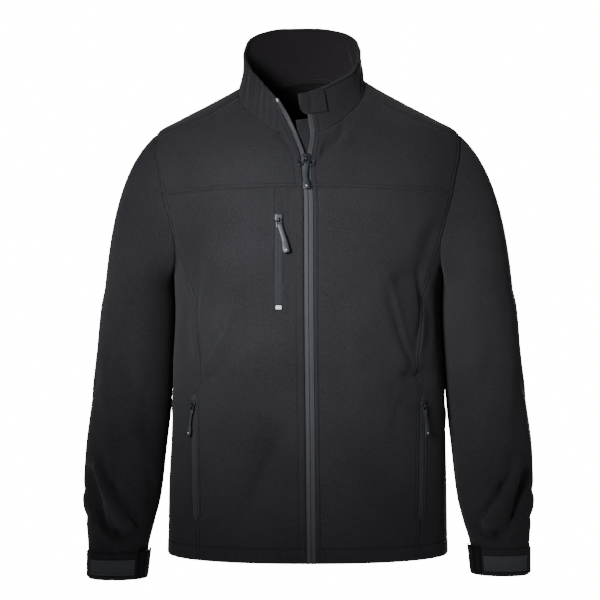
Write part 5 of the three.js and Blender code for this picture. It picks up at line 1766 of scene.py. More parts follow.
@dataclass
class MainZip:
    """The full-length zip, the flap behind it, its top stop and the chin guard."""

    form: BodyForm
    seams: Seams
    finishes: Finishes
    collar: Collar
    half: float = 7.0
    recess: float = 0.5
    rib_height: float = 0.09
    rib_pitch: float = 0.82
    coil_swell: float = 0.32
    edge_drop: float = 0.55
    loop_half: Triple = (1.9, 0.62, 0.6)
    coil_pitch: float = 1.6
    flap_sewn: float = -11.0
    flap_free: float = 25.0
    flap_low: float = 4.4
    flap_high: float = 6.8
    flap_rise: float = 0.4
    guard_sewn: float = -24.0
    guard_fold: float = 14.0
    guard_back: float = -8.0
    guard_out: float = 0.5
    guard_inside: float = 4.6
    guard_cloth: float = 1.5
    guard_from: float = 0.5
    guard_lift: float = 1.2
    guard_round: float = 0.24
    guard_threads: Pair = (-20.5, -16.5)
    stop: Triple = (4.5, 5.0, 1.4)

    def __post_init__(self) -> None:
        """Works out the paths up both front edges."""
        self.path = {side: self.edge_path(side) for side in Side}

    def edge_path(self, side: Side) -> Path:
        """A path up a front edge and the collar's end."""
        z = np.arange(HEM_Z, self.seams.throat_z(side) - 4, 4.0)
        base = self.form.at(self.seams.edge(side, z))
        low = self.form.dressed(base)
        grid = self.collar.grid
        height = run_along(grid, 0)[:, 0 if side is Side.RIGHT else -1]
        column = grid[:, 0] if side is Side.RIGHT else grid[:, -1]
        near = grid[:, 6] if side is Side.RIGHT else grid[:, -7]
        at = np.arange(4.0, height[-1] + 0.01, 4.0)
        at[-1] = height[-1]
        high, beside = sampled(at, height, column), sampled(at, height, near)
        up = unit(np.gradient(low, axis=0))
        inward = np.cross(up, self.form.normal(base)) * -side.value
        self.collar_points = len(at)
        return Path.of(np.concatenate([low, high]), np.concatenate([inward, unit(high - beside)]), side)

    def build(self) -> list[Skin]:
        """Makes the zip's halves, flap, stop and guard, and gives back their stitches."""
        for side in Side:
            self.tape(side)
        self.flap()
        self.top_stop()
        return self.guard()

    def tape(self, side: Side) -> None:
        """Half of the zip: a ribbed tape that swells over its coil, and the coil's loops."""
        path = self.path[side]
        start, end = 1.5 * SEAM_GAP, self.half - SEAM_GAP / 2
        share = np.linspace(0, 1, 25)
        distance = mixed(start, end, share)
        swell = self.coil_swell * ramp(share, 0.30, 0.52) - self.edge_drop * ramp(share, 0.93, 1.0)
        wave = self.rib_height * np.cos(2 * math.pi * distance / self.rib_pitch)
        ribs = wave * (share > 0.05) * (share < 0.93)
        outer = path.strip(distance, -self.recess + 0.1 + swell + ribs)
        inner = path.strip(distance, -self.recess - TAPE + 0.0 * share)
        tape = shell(outer, inner, inner_slot=0)
        run = run_along(path.point, 0)
        at = np.arange(3.0, run[-1] - 3, self.coil_pitch)
        place = [sampled(at, run, part) for part in (path.point, path.across, path.out)]
        centre = place[0] + unit(place[1]) * (self.half - 2.1) - unit(place[2]) * (self.recess + TAPE + 0.05)
        loops = beads(centre, place[1], place[2], self.loop_half, sides=6, rings=3)
        loops.slots[:] = 1
        piece = make_piece(f"zip_{side.word}_tape", Skin.joined([tape, loops]),
                           [self.finishes.tape, self.finishes.slider])
        merge_doubles(piece)
        dress(piece, "zip_tape", f"zip_{side.word}")

    def flap(self) -> None:
        """The flap sewn behind the left edge, with a soft free edge."""
        path = self.path[Side.LEFT]
        keep = len(path.point) - self.collar_points + int(self.flap_rise * self.collar_points)
        path = path.part(0, keep)
        share = np.linspace(0, 1, 21)
        distance = mixed(self.flap_sewn, self.flap_free, share)
        deep = mixed(self.flap_low, self.flap_high, ramp(path.point[:, 2], -260, -110))[:, None]
        roll = 0.5 * ramp(share, 0.93, 1.0)[None]
        sag = 0.35 * np.sin(path.point[:, 2:3] / 31.0 + 1.1) * ramp(share, 0.4, 1.0)[None]
        groove = 0.3 * bell(distance - self.flap_free + 5, 0.9)[None]
        outer = path.strip(distance, -deep - roll + sag * 0.6 - groove)
        inner = path.strip(distance, -deep - LINING + roll + sag * 0.6)
        piece = make_piece("storm_flap_cloth", shell(outer, inner),
                           [self.finishes.softshell, self.finishes.inside])
        dress(piece, "softshell", "storm_flap")

    def frame_at(self, rise: Array) -> Path:
        """The left path's frames at shares of the collar's height."""
        path = self.path[Side.LEFT]
        place = len(path.point) - 1 - (1 - rise) * self.collar_points
        index = np.arange(len(path.point))
        parts = [sampled(place, index, part) for part in (path.point, path.across, path.out, path.up)]
        return Path(parts[0], *(unit(part) for part in parts[1:]))

    def guard_section(self, extra: float) -> Array:
        """The guard's section: distances across and depths, from its sewn edge round the fold."""
        middle = (self.guard_out - self.guard_inside) / 2
        reach = (self.guard_out + self.guard_inside) / 2 + extra
        t = np.linspace(0, 1, 24, endpoint=False)
        front = np.stack([mixed(self.guard_sewn, self.guard_fold, t),
                          self.guard_out + extra + self.guard_lift * (1 - t) ** 2], -1)
        turn = np.radians(90 - 180 * np.linspace(0, 1, 19))
        bend = np.stack([self.guard_fold + reach * np.cos(turn), middle + reach * np.sin(turn)], -1)
        back = np.stack([mixed(self.guard_fold, self.guard_back, np.linspace(0.1, 1, 10)),
                         np.full(10, -self.guard_inside - extra)], -1)
        return np.concatenate([front, bend, back])

    def guard(self) -> list[Skin]:
        """The chin guard: a leaf on the collar, folded round the zip's end to the inside.

        Its lower edge rises towards the fold along a quarter of a circle.
        """
        near, far = self.guard_section(self.guard_cloth), self.guard_section(0.0)
        rows = np.linspace(0, 1, 25)[:, None]
        toward = np.clip((near[:, 0] - 6.0) / 10.0, 0, 1)
        low = self.guard_from + self.guard_round * (1 - np.sqrt(1 - toward ** 2))[None]
        rise = mixed(low, 1.0, rows)
        frames = self.frame_at(rise)
        on_front = ramp(near[:, 1], -2.5, 0.0)[None]
        across = near[:, 0][None] + 0 * rise
        dent = -1.3 * bell(across - 1.0, 3.6) * np.sin(math.pi * rows) ** 0.7
        swell = 0.9 * bell(across - 9.0, 4.5) * np.sin(math.pi * rows)
        rim = -0.6 * (bell(rows, 0.05) + bell(1 - rows, 0.05))
        groove = -0.4 * sum(bell(across - at, 0.9) for at in self.guard_threads)
        height = near[:, 1][None] + (dent + swell + rim + groove) * on_front
        outer = (frames.point + frames.across * across[..., None] + frames.out * height[..., None])
        inner = (frames.point + frames.across * far[:, 0][None, :, None]
                 + frames.out * far[:, 1][None, :, None])
        piece = make_piece("chin_guard_cloth", shell(outer, inner),
                           [self.finishes.softshell, self.finishes.softshell])
        dress(piece, "softshell", "chin_guard")
        threads = Threads(length=2.0, pitch=2.8)
        runs = []
        for distance in self.guard_threads:
            column = int(np.argmin(np.abs(near[:24, 0] - distance)))
            runs.append(threads.run(outer[1:-1, column], frames.out[1:-1, column], 0.1))
        return runs

    def top_stop(self) -> None:
        """The small block that ends the right half of the zip at the collar's top."""
        path = self.path[Side.RIGHT]
        width, height, thick = self.stop
        place = (path.point[-1] + path.across[-1] * (self.half - width / 2)
                 - path.up[-1] * height / 2 + path.out[-1] * (LAYER_GAP + thick / 2))
        skin = pebble(place, path.across[-1], path.up[-1], path.out[-1], (width / 2, height / 2, thick / 2))
        piece = make_piece("top_stop_block", skin, [self.finishes.stop])
        merge_doubles(piece)
        dress(piece, "stop", "top_stop")


def pebble(centre: Array, across: Array, up: Array, out: Array, half: Triple,
           power: float = 4.0) -> Skin:
    """A block with rounded edges: |x|^p + |y|^p + |z|^p = 1 scaled to three half sizes."""
    latitude = np.linspace(-1.0, 1.0, 13)[1:-1] * math.pi / 2
    turn = full_turn(24)
    share = 2 / power
    level = signed_power(np.sin(latitude), share)[:, None]
    ring = signed_power(np.cos(latitude), share)[:, None]
    local = np.stack(np.broadcast_arrays(ring * signed_power(np.cos(turn), share),
                                         ring * signed_power(np.sin(turn), share), level), -1)
    local = local * np.asarray(half)
    return tube(centre + local @ np.stack([unit(across), unit(up), unit(out)]))


@dataclass
class Pockets:
    """The chest pocket's zip and the zips in the side seams, seen in their windows."""

    form: BodyForm
    seams: Seams
    finishes: Finishes
    chest_top: float = -163.0
    chest_bottom: float = -331.0
    chest_half: float = 5.5
    stop_height: float = 6.0
    pocket_top: float = -456.0
    pocket_bottom: float = -643.0
    pocket_half: float = 4.1

    def band(self, x: Array, z: Array, shift: Array, height: Array) -> Array:
        """Points on the front at x plus shifts and heights, lifted off the cloth."""
        across = x[:, None] + shift[None]
        up = np.broadcast_to(z[:, None], across.shape)
        base = self.form.point(self.form.front_bearing(across, up), up)
        return self.form.dressed(base, height)

    def ribbed(self, half: float) -> tuple[Array, Array]:
        """Shifts across a zip, and its ribs with the groove where the halves meet."""
        shift = np.linspace(-half, half, 31)
        ribs = 0.09 * np.cos(2 * math.pi * shift / 0.9) - 0.45 * bell(shift, 0.35)
        swell = 0.35 * (1 - ramp(np.abs(shift), half * 0.45, half * 0.75))
        return shift, ribs + swell - 0.3 * ramp(np.abs(shift), half * 0.9, half)

    def build(self) -> None:
        """Makes the chest zip, its stop and both pocket zips."""
        finishes = self.finishes
        z = np.concatenate([np.linspace(self.chest_bottom, CHEST_SLIDER_Z, 40),
                            np.linspace(CHEST_SLIDER_Z + 2, self.chest_top + 9, 20)])
        shift, relief = self.ribbed(self.chest_half)
        x = np.full_like(z, CHEST_X)
        outer = self.band(x, z, shift, LAYER_GAP + TAPE - 0.4 + relief)
        inner = self.band(x, z, shift, np.full_like(shift, LAYER_GAP))
        skin = shell(outer, inner, inner_slot=0)
        middle = skin.points[skin.faces][..., 2].mean(axis=1)
        skin.slots = np.where(middle > CHEST_SLIDER_Z + 6, 1, 0)
        zip_piece = make_piece("chest_zip_tape", skin, [finishes.pocket_tape, finishes.softshell])
        dress(zip_piece, "zip_tape", "chest_zip")
        stop_z = self.chest_bottom + 1 + self.stop_height / 2
        self.block("chest_stop_block", "chest_stop", CHEST_X, stop_z)
        for side in Side:
            z = np.linspace(self.pocket_bottom, self.pocket_top, 60)
            shift, relief = self.ribbed(self.pocket_half)
            x = side.value * self.seams.seam_x["front"](z)
            outer = self.band(x, z, shift, -0.75 + relief)
            inner = self.band(x, z, shift, np.full_like(shift, -1.9))
            piece = make_piece(f"pocket_zip_{side.word}_tape", shell(outer, inner, inner_slot=0),
                               [finishes.pocket_tape])
            dress(piece, "zip_tape", f"pocket_zip_{side.word}")

    def block(self, name: str, node: str, x: float, z: float) -> None:
        """A stop block lying on the chest zip."""
        frame = Fastening.frame(self.form, x, z)
        centre = frame[0] + frame[3] * (TAPE + 2 * LAYER_GAP + 0.4)
        half = (self.chest_half - 1, self.stop_height / 2, 0.65)
        piece = make_piece(name, pebble(centre, frame[1], frame[2], frame[3], half, 5.0),
                           [self.finishes.stop])
        merge_doubles(piece)
        dress(piece, "stop", node)


@dataclass(frozen=True)
class SliderSize:
    """A slider's half widths at its crown and foot, its length and its wings' reach."""

    crown: float
    foot: float
    length: float
    wing: float = 0.0


@dataclass(frozen=True)
class PullSize:
    """A pull tab's half widths, its length, how it is tilted, how it leans and its bow."""

    neck: float
    end: float
    length: float
    tilt: float
    lean: float
    bow: float = 0.0


@dataclass
class Fastening:
    """A zip slider and the pull tab that swings on its bridge."""

    form: BodyForm
    finishes: Finishes
    slider_name: str
    pull_name: str
    x: float
    z: float
    slider: SliderSize
    pull: PullSize
    lift: float = 0.0
    plate_gap: float = 0.3
    plate: float = 1.8
    bridge_half: float = 1.5
    bridge_hole: float = 1.7
    bridge_leg: float = 1.8
    bridge_clear: float = 3.2
    bridge_roof: float = 1.5
    bar_radius: float = 0.9
    bar_inner: float = 2.7
    bar_outer: float = 4.3
    bar_start: float = 5.4
    half_thick: float = 1.1

    @staticmethod
    def frame(form: BodyForm, x: float, z: float) -> tuple[Array, Array, Array, Array]:
        """The point, across, up and out of a place on the front."""
        heights = np.array([z - 6, z, z + 6])
        base = form.point(form.front_bearing(np.full(3, x), heights), heights)
        placed = form.dressed(base)
        up = unit(placed[2] - placed[0])
        out = form.normal(placed[1])
        out = unit(out - up * float(out @ up))
        return placed[1], unit(np.cross(up, out)), up, out

    def placed(self, skin: Skin, turned: bool) -> Skin:
        """A skin carried from the fastening's own frame to its place; a pull is turned too.

        A pull leans about its bar, then tilts about the outward direction.
        """
        point, across, up, out = self.frame(self.form, self.x, self.z)
        basis = np.stack([across, up, out])
        place = skin.points
        if turned:
            lean, tilt = math.radians(-self.pull.lean), math.radians(self.pull.tilt)
            about_x = np.array([[1, 0, 0], [0, math.cos(lean), -math.sin(lean)],
                                [0, math.sin(lean), math.cos(lean)]])
            about_z = np.array([[math.cos(tilt), -math.sin(tilt), 0],
                                [math.sin(tilt), math.cos(tilt), 0], [0, 0, 1]])
            place = place @ (about_z @ about_x).T
            place = place + np.array([0, 0, self.plate_gap + self.plate + self.bridge_clear / 2])
        skin.points = point + out * self.lift + place @ basis
        return skin

    def loft(self, rows: Sequence[Sequence[float]], power: float = 3.0, count: int = 28) -> Skin:
        """A body lofted through rounded sections.

        Each row gives the height along, the half width, the half thickness, and the shifts
        across and out; the section is |x / w|^p + |z / t|^p = 1.
        """
        table = np.asarray(rows, float)
        parts = columns(table)
        place = np.linspace(table[:, 0].min(), table[:, 0].max(), 46)
        wide, thick, shift, rise = (part(place)[:, None] for part in parts)
        turn = full_turn(count)[None]
        x = shift + wide * signed_power(np.cos(turn), 2 / power)
        z = rise + thick * signed_power(np.sin(turn), 2 / power)
        return tube(np.stack(np.broadcast_arrays(x, place[:, None], z), axis=-1))

    def bent(self, line: Array, half_x: float, half_y: float, count: int = 12) -> Skin:
        """A tube of oval section carried along a line of points.

        The section's first direction is across the line and level with X or, on a line
        along X, with Y.
        """
        along = unit(np.gradient(line, axis=0))
        first = np.array([1.0, 0, 0]) if abs(along[:, 0]).mean() < 0.6 else np.array([0.0, 1, 0])
        side = unit(first - along * (along @ first)[:, None])
        other = np.cross(along, side)
        turn = full_turn(count)
        ring = (side[:, None] * (half_x * np.cos(turn))[None, :, None]
                + other[:, None] * (half_y * np.sin(turn))[None, :, None])
        return tube(line[:, None] + ring)

    def slider_skin(self) -> Skin:
        """The slider: a waisted plate, a bridge over it, and loops where it has wings."""
        size = self.slider
        half = size.length / 2
        top = self.plate_gap + self.plate
        middle = self.plate_gap + self.plate / 2
        rows = [(-half, size.foot * 0.9, self.plate / 2 * 0.8, 0, middle),
                (-half * 0.2, size.foot, self.plate / 2, 0, middle),
                (half * 0.35, size.crown, self.plate / 2, 0, middle),
                (half * 0.75, size.crown * 0.97, self.plate / 2, 0, middle),
                (half, size.crown * 0.55, self.plate / 2 * 0.7, 0, middle)]
        arch_turn = np.linspace(0, math.pi, 15)
        reach = self.bridge_hole + self.bridge_leg / 2
        rise = self.bridge_clear + self.bridge_roof / 2
        arch = np.stack([0 * arch_turn, reach * signed_power(np.cos(arch_turn), 0.62),
                         top + rise * signed_power(np.sin(arch_turn), 0.5)], -1)
        arch = np.concatenate([[[0, reach, top - 0.4]], arch, [[0, -reach, top - 0.4]]])
        skins = [self.loft(rows, 4.0), self.bent(arch, self.bridge_half, self.bridge_leg / 2 * 0.9)]
        ribs = np.array([[0, half * 0.78, top], [0, -half * 0.72, top]])
        skins.append(beads(ribs, np.tile([1.0, 0, 0], (2, 1)), np.tile([0, 0, 1.0], (2, 1)),
                           (size.crown * 0.55, 1.2, 0.7)))
        if size.wing > 0:
            loop_turn = np.linspace(0, 2 * math.pi, 21)
            for way in (-1, 1):
                radius = size.wing - size.crown - 2
                loop = np.stack([way * (size.crown + 2.2) + radius * np.cos(loop_turn),
                                 -half * 0.62 + radius * np.sin(loop_turn),
                                 np.full_like(loop_turn, self.plate_gap + 1.1)], -1)
                skins.append(self.ring(loop, 0.95))
            line = np.stack([np.linspace(-1, 1, 7) * (size.crown + 0.6),
                             np.full(7, -half * 0.6), np.full(7, middle)], -1)
            skins.append(self.bent(line, 1.1, 0.9))
        return Skin.joined(skins)

    def ring(self, line: Array, radius: float, count: int = 10) -> Skin:
        """A closed ring of wire round a flat loop of points."""
        along = unit(np.roll(line[:-1], -1, axis=0) - np.roll(line[:-1], 1, axis=0))
        out = np.array([0.0, 0, 1])
        side = np.cross(along, out)
        turn = full_turn(count)
        grid = (line[:-1, None] + side[:, None] * (radius * np.cos(turn))[None, :, None]
                + out * (radius * np.sin(turn))[None, :, None])
        grid = np.concatenate([grid, grid[:1]])
        faces = grid_faces(len(grid), count, True)
        return Skin(grid.reshape(-1, 3), faces, grid_uv(grid, True),
                    np.zeros(len(faces))).faced_out(corners=False)

    def pull_skin(self) -> Skin:
        """The pull: a bar, two arms, and a tab that swells towards its end."""
        size = self.pull
        shoulder = self.bar_start + 3
        rows = [(-size.length, size.end * 0.62, self.half_thick * 0.6, 0, 0),
                (-size.length + 1.2, size.end * 0.93, self.half_thick * 0.95, 0, 0),
                (-size.length + 4, size.end, self.half_thick, 0, 0),
                (-size.length * 0.8, size.end * 0.96, self.half_thick, size.bow * 0.25, 0),
                (-size.length * 0.62, size.neck * 1.12, self.half_thick * 0.98, size.bow * 0.7, 0),
                (-size.length * 0.42, size.neck, self.half_thick * 0.95, size.bow * 0.3, 0),
                (-shoulder - 6, size.neck * 1.05, self.half_thick, 0, 0),
                (-shoulder, self.bar_outer * 0.92, self.half_thick, 0, 0),
                (-self.bar_start, self.bar_outer * 0.8, self.half_thick * 0.75, 0, 0)]
        bar = np.stack([np.linspace(-self.bar_outer, self.bar_outer, 15), np.zeros(15), np.zeros(15)], -1)
        skins = [self.loft(rows, 2.8), self.bent(bar, self.bar_radius, self.bar_radius)]
        middle = (self.bar_inner + self.bar_outer) / 2
        half = (self.bar_outer - self.bar_inner) / 2
        for way in (-1, 1):
            arm = np.stack([np.full(9, way * middle), np.linspace(0.6, -self.bar_start - 1.2, 9),
                            np.zeros(9)], -1)
            skins.append(self.bent(arm, half, self.bar_radius))
        grip = -size.length + np.array([9.0, 11.5, 14.0, 16.5])
        ridge = np.stack([0 * grip, grip, np.full_like(grip, self.half_thick * 0.9)], -1)
        ways = np.tile([1.0, 0, 0], (len(grip), 1)), np.tile([0, 0, 1.0], (len(grip), 1))
        skins.append(beads(ridge, *ways, (size.end * 0.62, 0.5, 0.32)))
        rivet = beads(np.array([[0, -size.length + 4.6, self.half_thick * 0.92]]),
                      np.array([[1.0, 0, 0]]), np.array([[0, 0, 1.0]]), (1.25, 1.25, 0.45), 14, 7)
        rivet.slots[:] = 1
        skins.append(rivet)
        return Skin.joined(skins)

    def build(self) -> None:
        """Makes the slider and its pull."""
        slider = make_piece(f"{self.slider_name}_body", self.placed(self.slider_skin(), False),
                            [self.finishes.slider])
        merge_doubles(slider)
        dress(slider, "slider", self.slider_name)
        pull = make_piece(f"{self.pull_name}_tab", self.placed(self.pull_skin(), True),
                          [self.finishes.pull, self.finishes.stop])
        merge_doubles(pull)
        dress(pull, "pull", self.pull_name, body=self.pull_name)


@dataclass(frozen=True)
class CuffBand:
    """A band bent round a sleeve's end: heights over the end, turns and depth."""

    low: float
    high: float
    start: float
    end: float
    offset: float
    thick: float


@dataclass
class Cuffs:
    """The straps round both cuffs, each with a stitched patch and an end loop."""

    sleeves: Sleeves
    finishes: Finishes
    strap: CuffBand = CuffBand(low=3, high=40, start=-25, end=205, offset=1.1, thick=1.4)
    patch: CuffBand = CuffBand(low=8, high=31, start=40, end=126, offset=3.0, thick=0.9)
    loop: CuffBand = CuffBand(low=1, high=43, start=133, end=200, offset=3.0, thick=1.6)
    arm_axis: Pair = (291.0, -43.0)
    strap_length: float = 150.0
    strap_inset: float = 3.0
    patch_inset: float = 1.6
    loop_ribs: Pair = (0.12, 0.34)

    def band(self, side: Side, band: CuffBand, relief: Callable[[Array, Array], Array]) -> Skin:
        """One band as a wall with a relief.

        Args:
            side: which cuff.
            band: the band's sizes.
            relief: heights from the shares up the band and along it.

        Returns:
            A closed skin.
        """
        rise = np.linspace(0, 1, 29)[:, None]
        turn_share = np.linspace(0, 1, max(24, int((band.end - band.start) / 1.6)))[None]
        z = self.sleeves.cuff_z(side) + mixed(band.low, band.high, rise) + 0 * turn_share
        turn = mixed(band.start, band.end, turn_share) + 0 * rise
        height = relief(rise, turn_share) + 0 * z
        outer = self.sleeves.point(side, z, turn, band.offset + band.thick + height)
        inner = self.sleeves.point(side, z, turn, np.full_like(z, band.offset))
        return shell(outer, inner, inner_slot=0)

    def rounded(self, rise: Array, turn: Array) -> Array:
        """The strap's relief: rolled edges, a groove where they are sewn, faint waves."""
        edge = np.minimum(rise, 1 - rise) * (self.strap.high - self.strap.low)
        end = np.minimum(turn, 1 - turn) * self.strap_length
        groove = -0.35 * (bell(edge - self.strap_inset, 0.8) + bell(end - self.strap_inset, 0.9))
        return groove - 0.6 * (bell(edge, 0.9) + bell(end, 0.9)) + 0.25 * np.sin(turn * 37) * rise

    def stitched(self, rise: Array, turn: Array) -> Array:
        """The patch's relief: a raised cord all round, and a faint hollow between."""
        cord = 0.75 * (bell(rise - 0.07, 0.05) + bell(rise - 0.93, 0.05))
        end = 0.5 * (bell(turn - 0.03, 0.02) + bell(turn - 0.97, 0.02))
        return cord + end - 0.15 * bell(rise - 0.5, 0.3)

    def ribbed(self, rise: Array, turn: Array) -> Array:
        """The loop's relief: two ribs across it, and rolled edges."""
        ribs = 0.5 * sum(bell(turn - at, 0.05) for at in self.loop_ribs)
        edge = np.minimum(rise, 1 - rise) * (self.loop.high - self.loop.low)
        return ribs - 0.7 * bell(edge, 1.2) - 0.3 * bell(turn, 0.04)

    def build(self) -> list[Skin]:
        """Makes the straps, patches and loops, and gives back their stitches."""
        runs = []
        for side in Side:
            word = side.word
            strap = make_piece(f"cuff_strap_{word}_cloth", self.band(side, self.strap, self.rounded),
                               [self.finishes.softshell])
            dress(strap, "softshell", f"cuff_strap_{word}")
            patch = make_piece(f"cuff_patch_{word}_cloth", self.band(side, self.patch, self.stitched),
                               [self.finishes.patch])
            dress(patch, "cuff_patch", f"cuff_patch_{word}")
            loop = make_piece(f"cuff_loop_{word}_band", self.band(side, self.loop, self.ribbed),
                              [self.finishes.loop])
            dress(loop, "cuff_loop", f"cuff_loop_{word}")
            # The pale runs lie on the patch's raised cords and the loop's ribs; their pale colour is partly
            # a painted highlight along those lines.
            dark, pale = self.threads(side)
            runs += dark
            threads = make_piece(f"cuff_threads_{word}", Skin.joined(pale), [self.finishes.pale_thread_and_highlight])
            dress(threads, "cuff_patch")
        return runs

    def outward(self, side: Side, line: Array) -> Array:
        """Level directions out of the arm at points round its end."""
        centre = np.array([side.value * self.arm_axis[0], self.arm_axis[1], 0.0])
        return unit((line - centre) * np.array([1, 1, 0]))

    def threads(self, side: Side) -> tuple[list[Skin], list[Skin]]:
        """Dark stitches along the strap's edges, and pale ones on the patch's raised cords and the loop's
        ribs, whose pale thread colour is partly a painted highlight along those lines.
        """
        threads = Threads(length=2.2, pitch=3.0)
        runs: dict[bool, list[Skin]] = {False: [], True: []}
        for band, inset, lift, pale in ((self.strap, self.strap_inset, 0.0, False),
                                        (self.patch, self.patch_inset, 0.75, True)):
            for height in (band.low + inset, band.high - inset):
                turn = np.linspace(band.start + 3, band.end - 3, 90)
                z = np.full_like(turn, self.sleeves.cuff_z(side) + height)
                line = self.sleeves.point(side, z, turn, band.offset + band.thick + lift)
                runs[pale].append(threads.run(line, self.outward(side, line), 0.05))
        for share in self.loop_ribs:
            z = self.sleeves.cuff_z(side) + np.linspace(self.loop.low + 2, self.loop.high - 2, 40)
            turn = np.full_like(z, mixed(self.loop.start, self.loop.end, share))
            line = self.sleeves.point(side, z, turn, self.loop.offset + self.loop.thick + 0.45)
            runs[True].append(threads.run(line, self.outward(side, line), 0.05))
        return runs[False], runs[True]


@dataclass
class BodyStitching:
    """The topstitching of the body, and the sleeves' hems."""

    form: BodyForm
    seams: Seams
    sleeves: Sleeves
    threads: Threads

    def beside(self, line: Array, distance: float, toward: Array) -> tuple[Array, Array]:
        """A line moved over the surface by a distance, towards a point.

        The direction is the cross product of the surface's normal and the line's own, with
        the sign that points towards the given place.
        """
        normal = self.form.normal(line)
        along = unit(np.gradient(line, axis=0))
        way = np.cross(normal, along)
        way = way * np.sign(np.sum(way * (toward - line), axis=-1, keepdims=True))
        return self.lifted(self.form.settle(line + way * distance))

    def lifted(self, points: Array) -> tuple[Array, Array]:
        """Surface points with the cloth's folds, and the normals there."""
        return self.form.dressed(points), self.form.normal(points)

    def lines(self) -> list[tuple[Array, Array]]:
        """Every topstitched line of the body, as points and normals."""
        seams = self.seams
        share = np.linspace(0.015, 0.985, 160)
        found = []
        front_z = HEM_Z + HEM_STITCH
        start = seams.edge(Side.RIGHT, np.array(front_z))[0]
        end = seams.edge(Side.LEFT, np.array(front_z))[0]
        bearing = np.linspace(start - 1.2, end - 360 + 1.2, 900)
        found.append(self.lifted(self.form.point(bearing, np.full_like(bearing, front_z))))
        for side in Side:
            way = side.value
            above = np.array([way * 110.0, -100.0, 60.0])
            found.append(self.beside(self.form.at(seams.yoke(side, share)), YOKE_STITCH, above))
            behind = np.array([way * 160.0, 90.0, 40.0])
            found.append(self.beside(self.form.at(seams.shoulder(side, share)), YOKE_STITCH, behind))
            z = np.linspace(HEM_Z + 2, -232, 260)
            front = self.form.at(seams.side_seam(side, "front", z, -1))
            found.append(self.beside(front, SIDE_STITCH, np.array([way * 60.0, -140.0, -450.0])))
            pocket = np.linspace(seams.pocket_bottom - 3, seams.pocket_top + 3, 90)
            welt = self.form.at(seams.side_seam(side, "front", pocket, 1))
            found.append(self.beside(welt, POCKET_STITCH, np.array([way * 230.0, 0.0, -550.0])))
            z = np.linspace(HEM_Z + 2, -216, 260)
            back = self.form.at(seams.side_seam(side, "back", z, 0))
            found.append(self.beside(back, BACK_STITCH, np.array([way * 60.0, 140.0, -450.0])))
            turn = np.linspace(0, 360, 300)
            ring = self.form.at(seams.armhole(side, turn))
            normal = self.form.normal(ring)
            outward = unit(ring - ring.mean(axis=0))
            outward = unit(outward - normal * np.sum(outward * normal, axis=-1, keepdims=True))
            found.append(self.lifted(self.form.settle(ring + outward * YOKE_STITCH)))
            z = np.linspace(HEM_Z + 2, seams.throat_z(side) - 2, 300)
            edge = self.form.at(seams.edge(side, z))
            inside = np.array([way * 120.0, -120.0, -400.0])
            found.append(self.beside(edge, seams.zip_stitch(side), inside))
        return found

    def build(self, extra: Sequence[Skin], material: Material) -> None:
        """Makes the body's threads, with those that other pieces gave.

        Args:
            extra: stitches of the collar and the guard.
            material: the thread's finish.
        """
        skins = [self.threads.run(line, normals) for line, normals in self.lines()]
        piece = make_piece("body_topstitching", Skin.joined(skins + list(extra)), [material])
        dress(piece, "softshell")

    def sleeve_hems(self, extra: Sequence[Skin], material: Material) -> None:
        """Makes the threads of the sleeves' hems, with those of the cuffs."""
        skins = []
        for side in Side:
            turn = np.linspace(0, 360, 300)
            z = np.full_like(turn, self.sleeves.cuff_z(side) + self.sleeves.hem_stitch)
            line = self.sleeves.point(side, z, turn)
            out = unit((line - line.mean(axis=0)) * np.array([1, 1, 0]))
            skins.append(self.threads.run(line, out))
        piece = make_piece("cuff_topstitching", Skin.joined(skins + list(extra)), [material])
        dress(piece, "softshell")


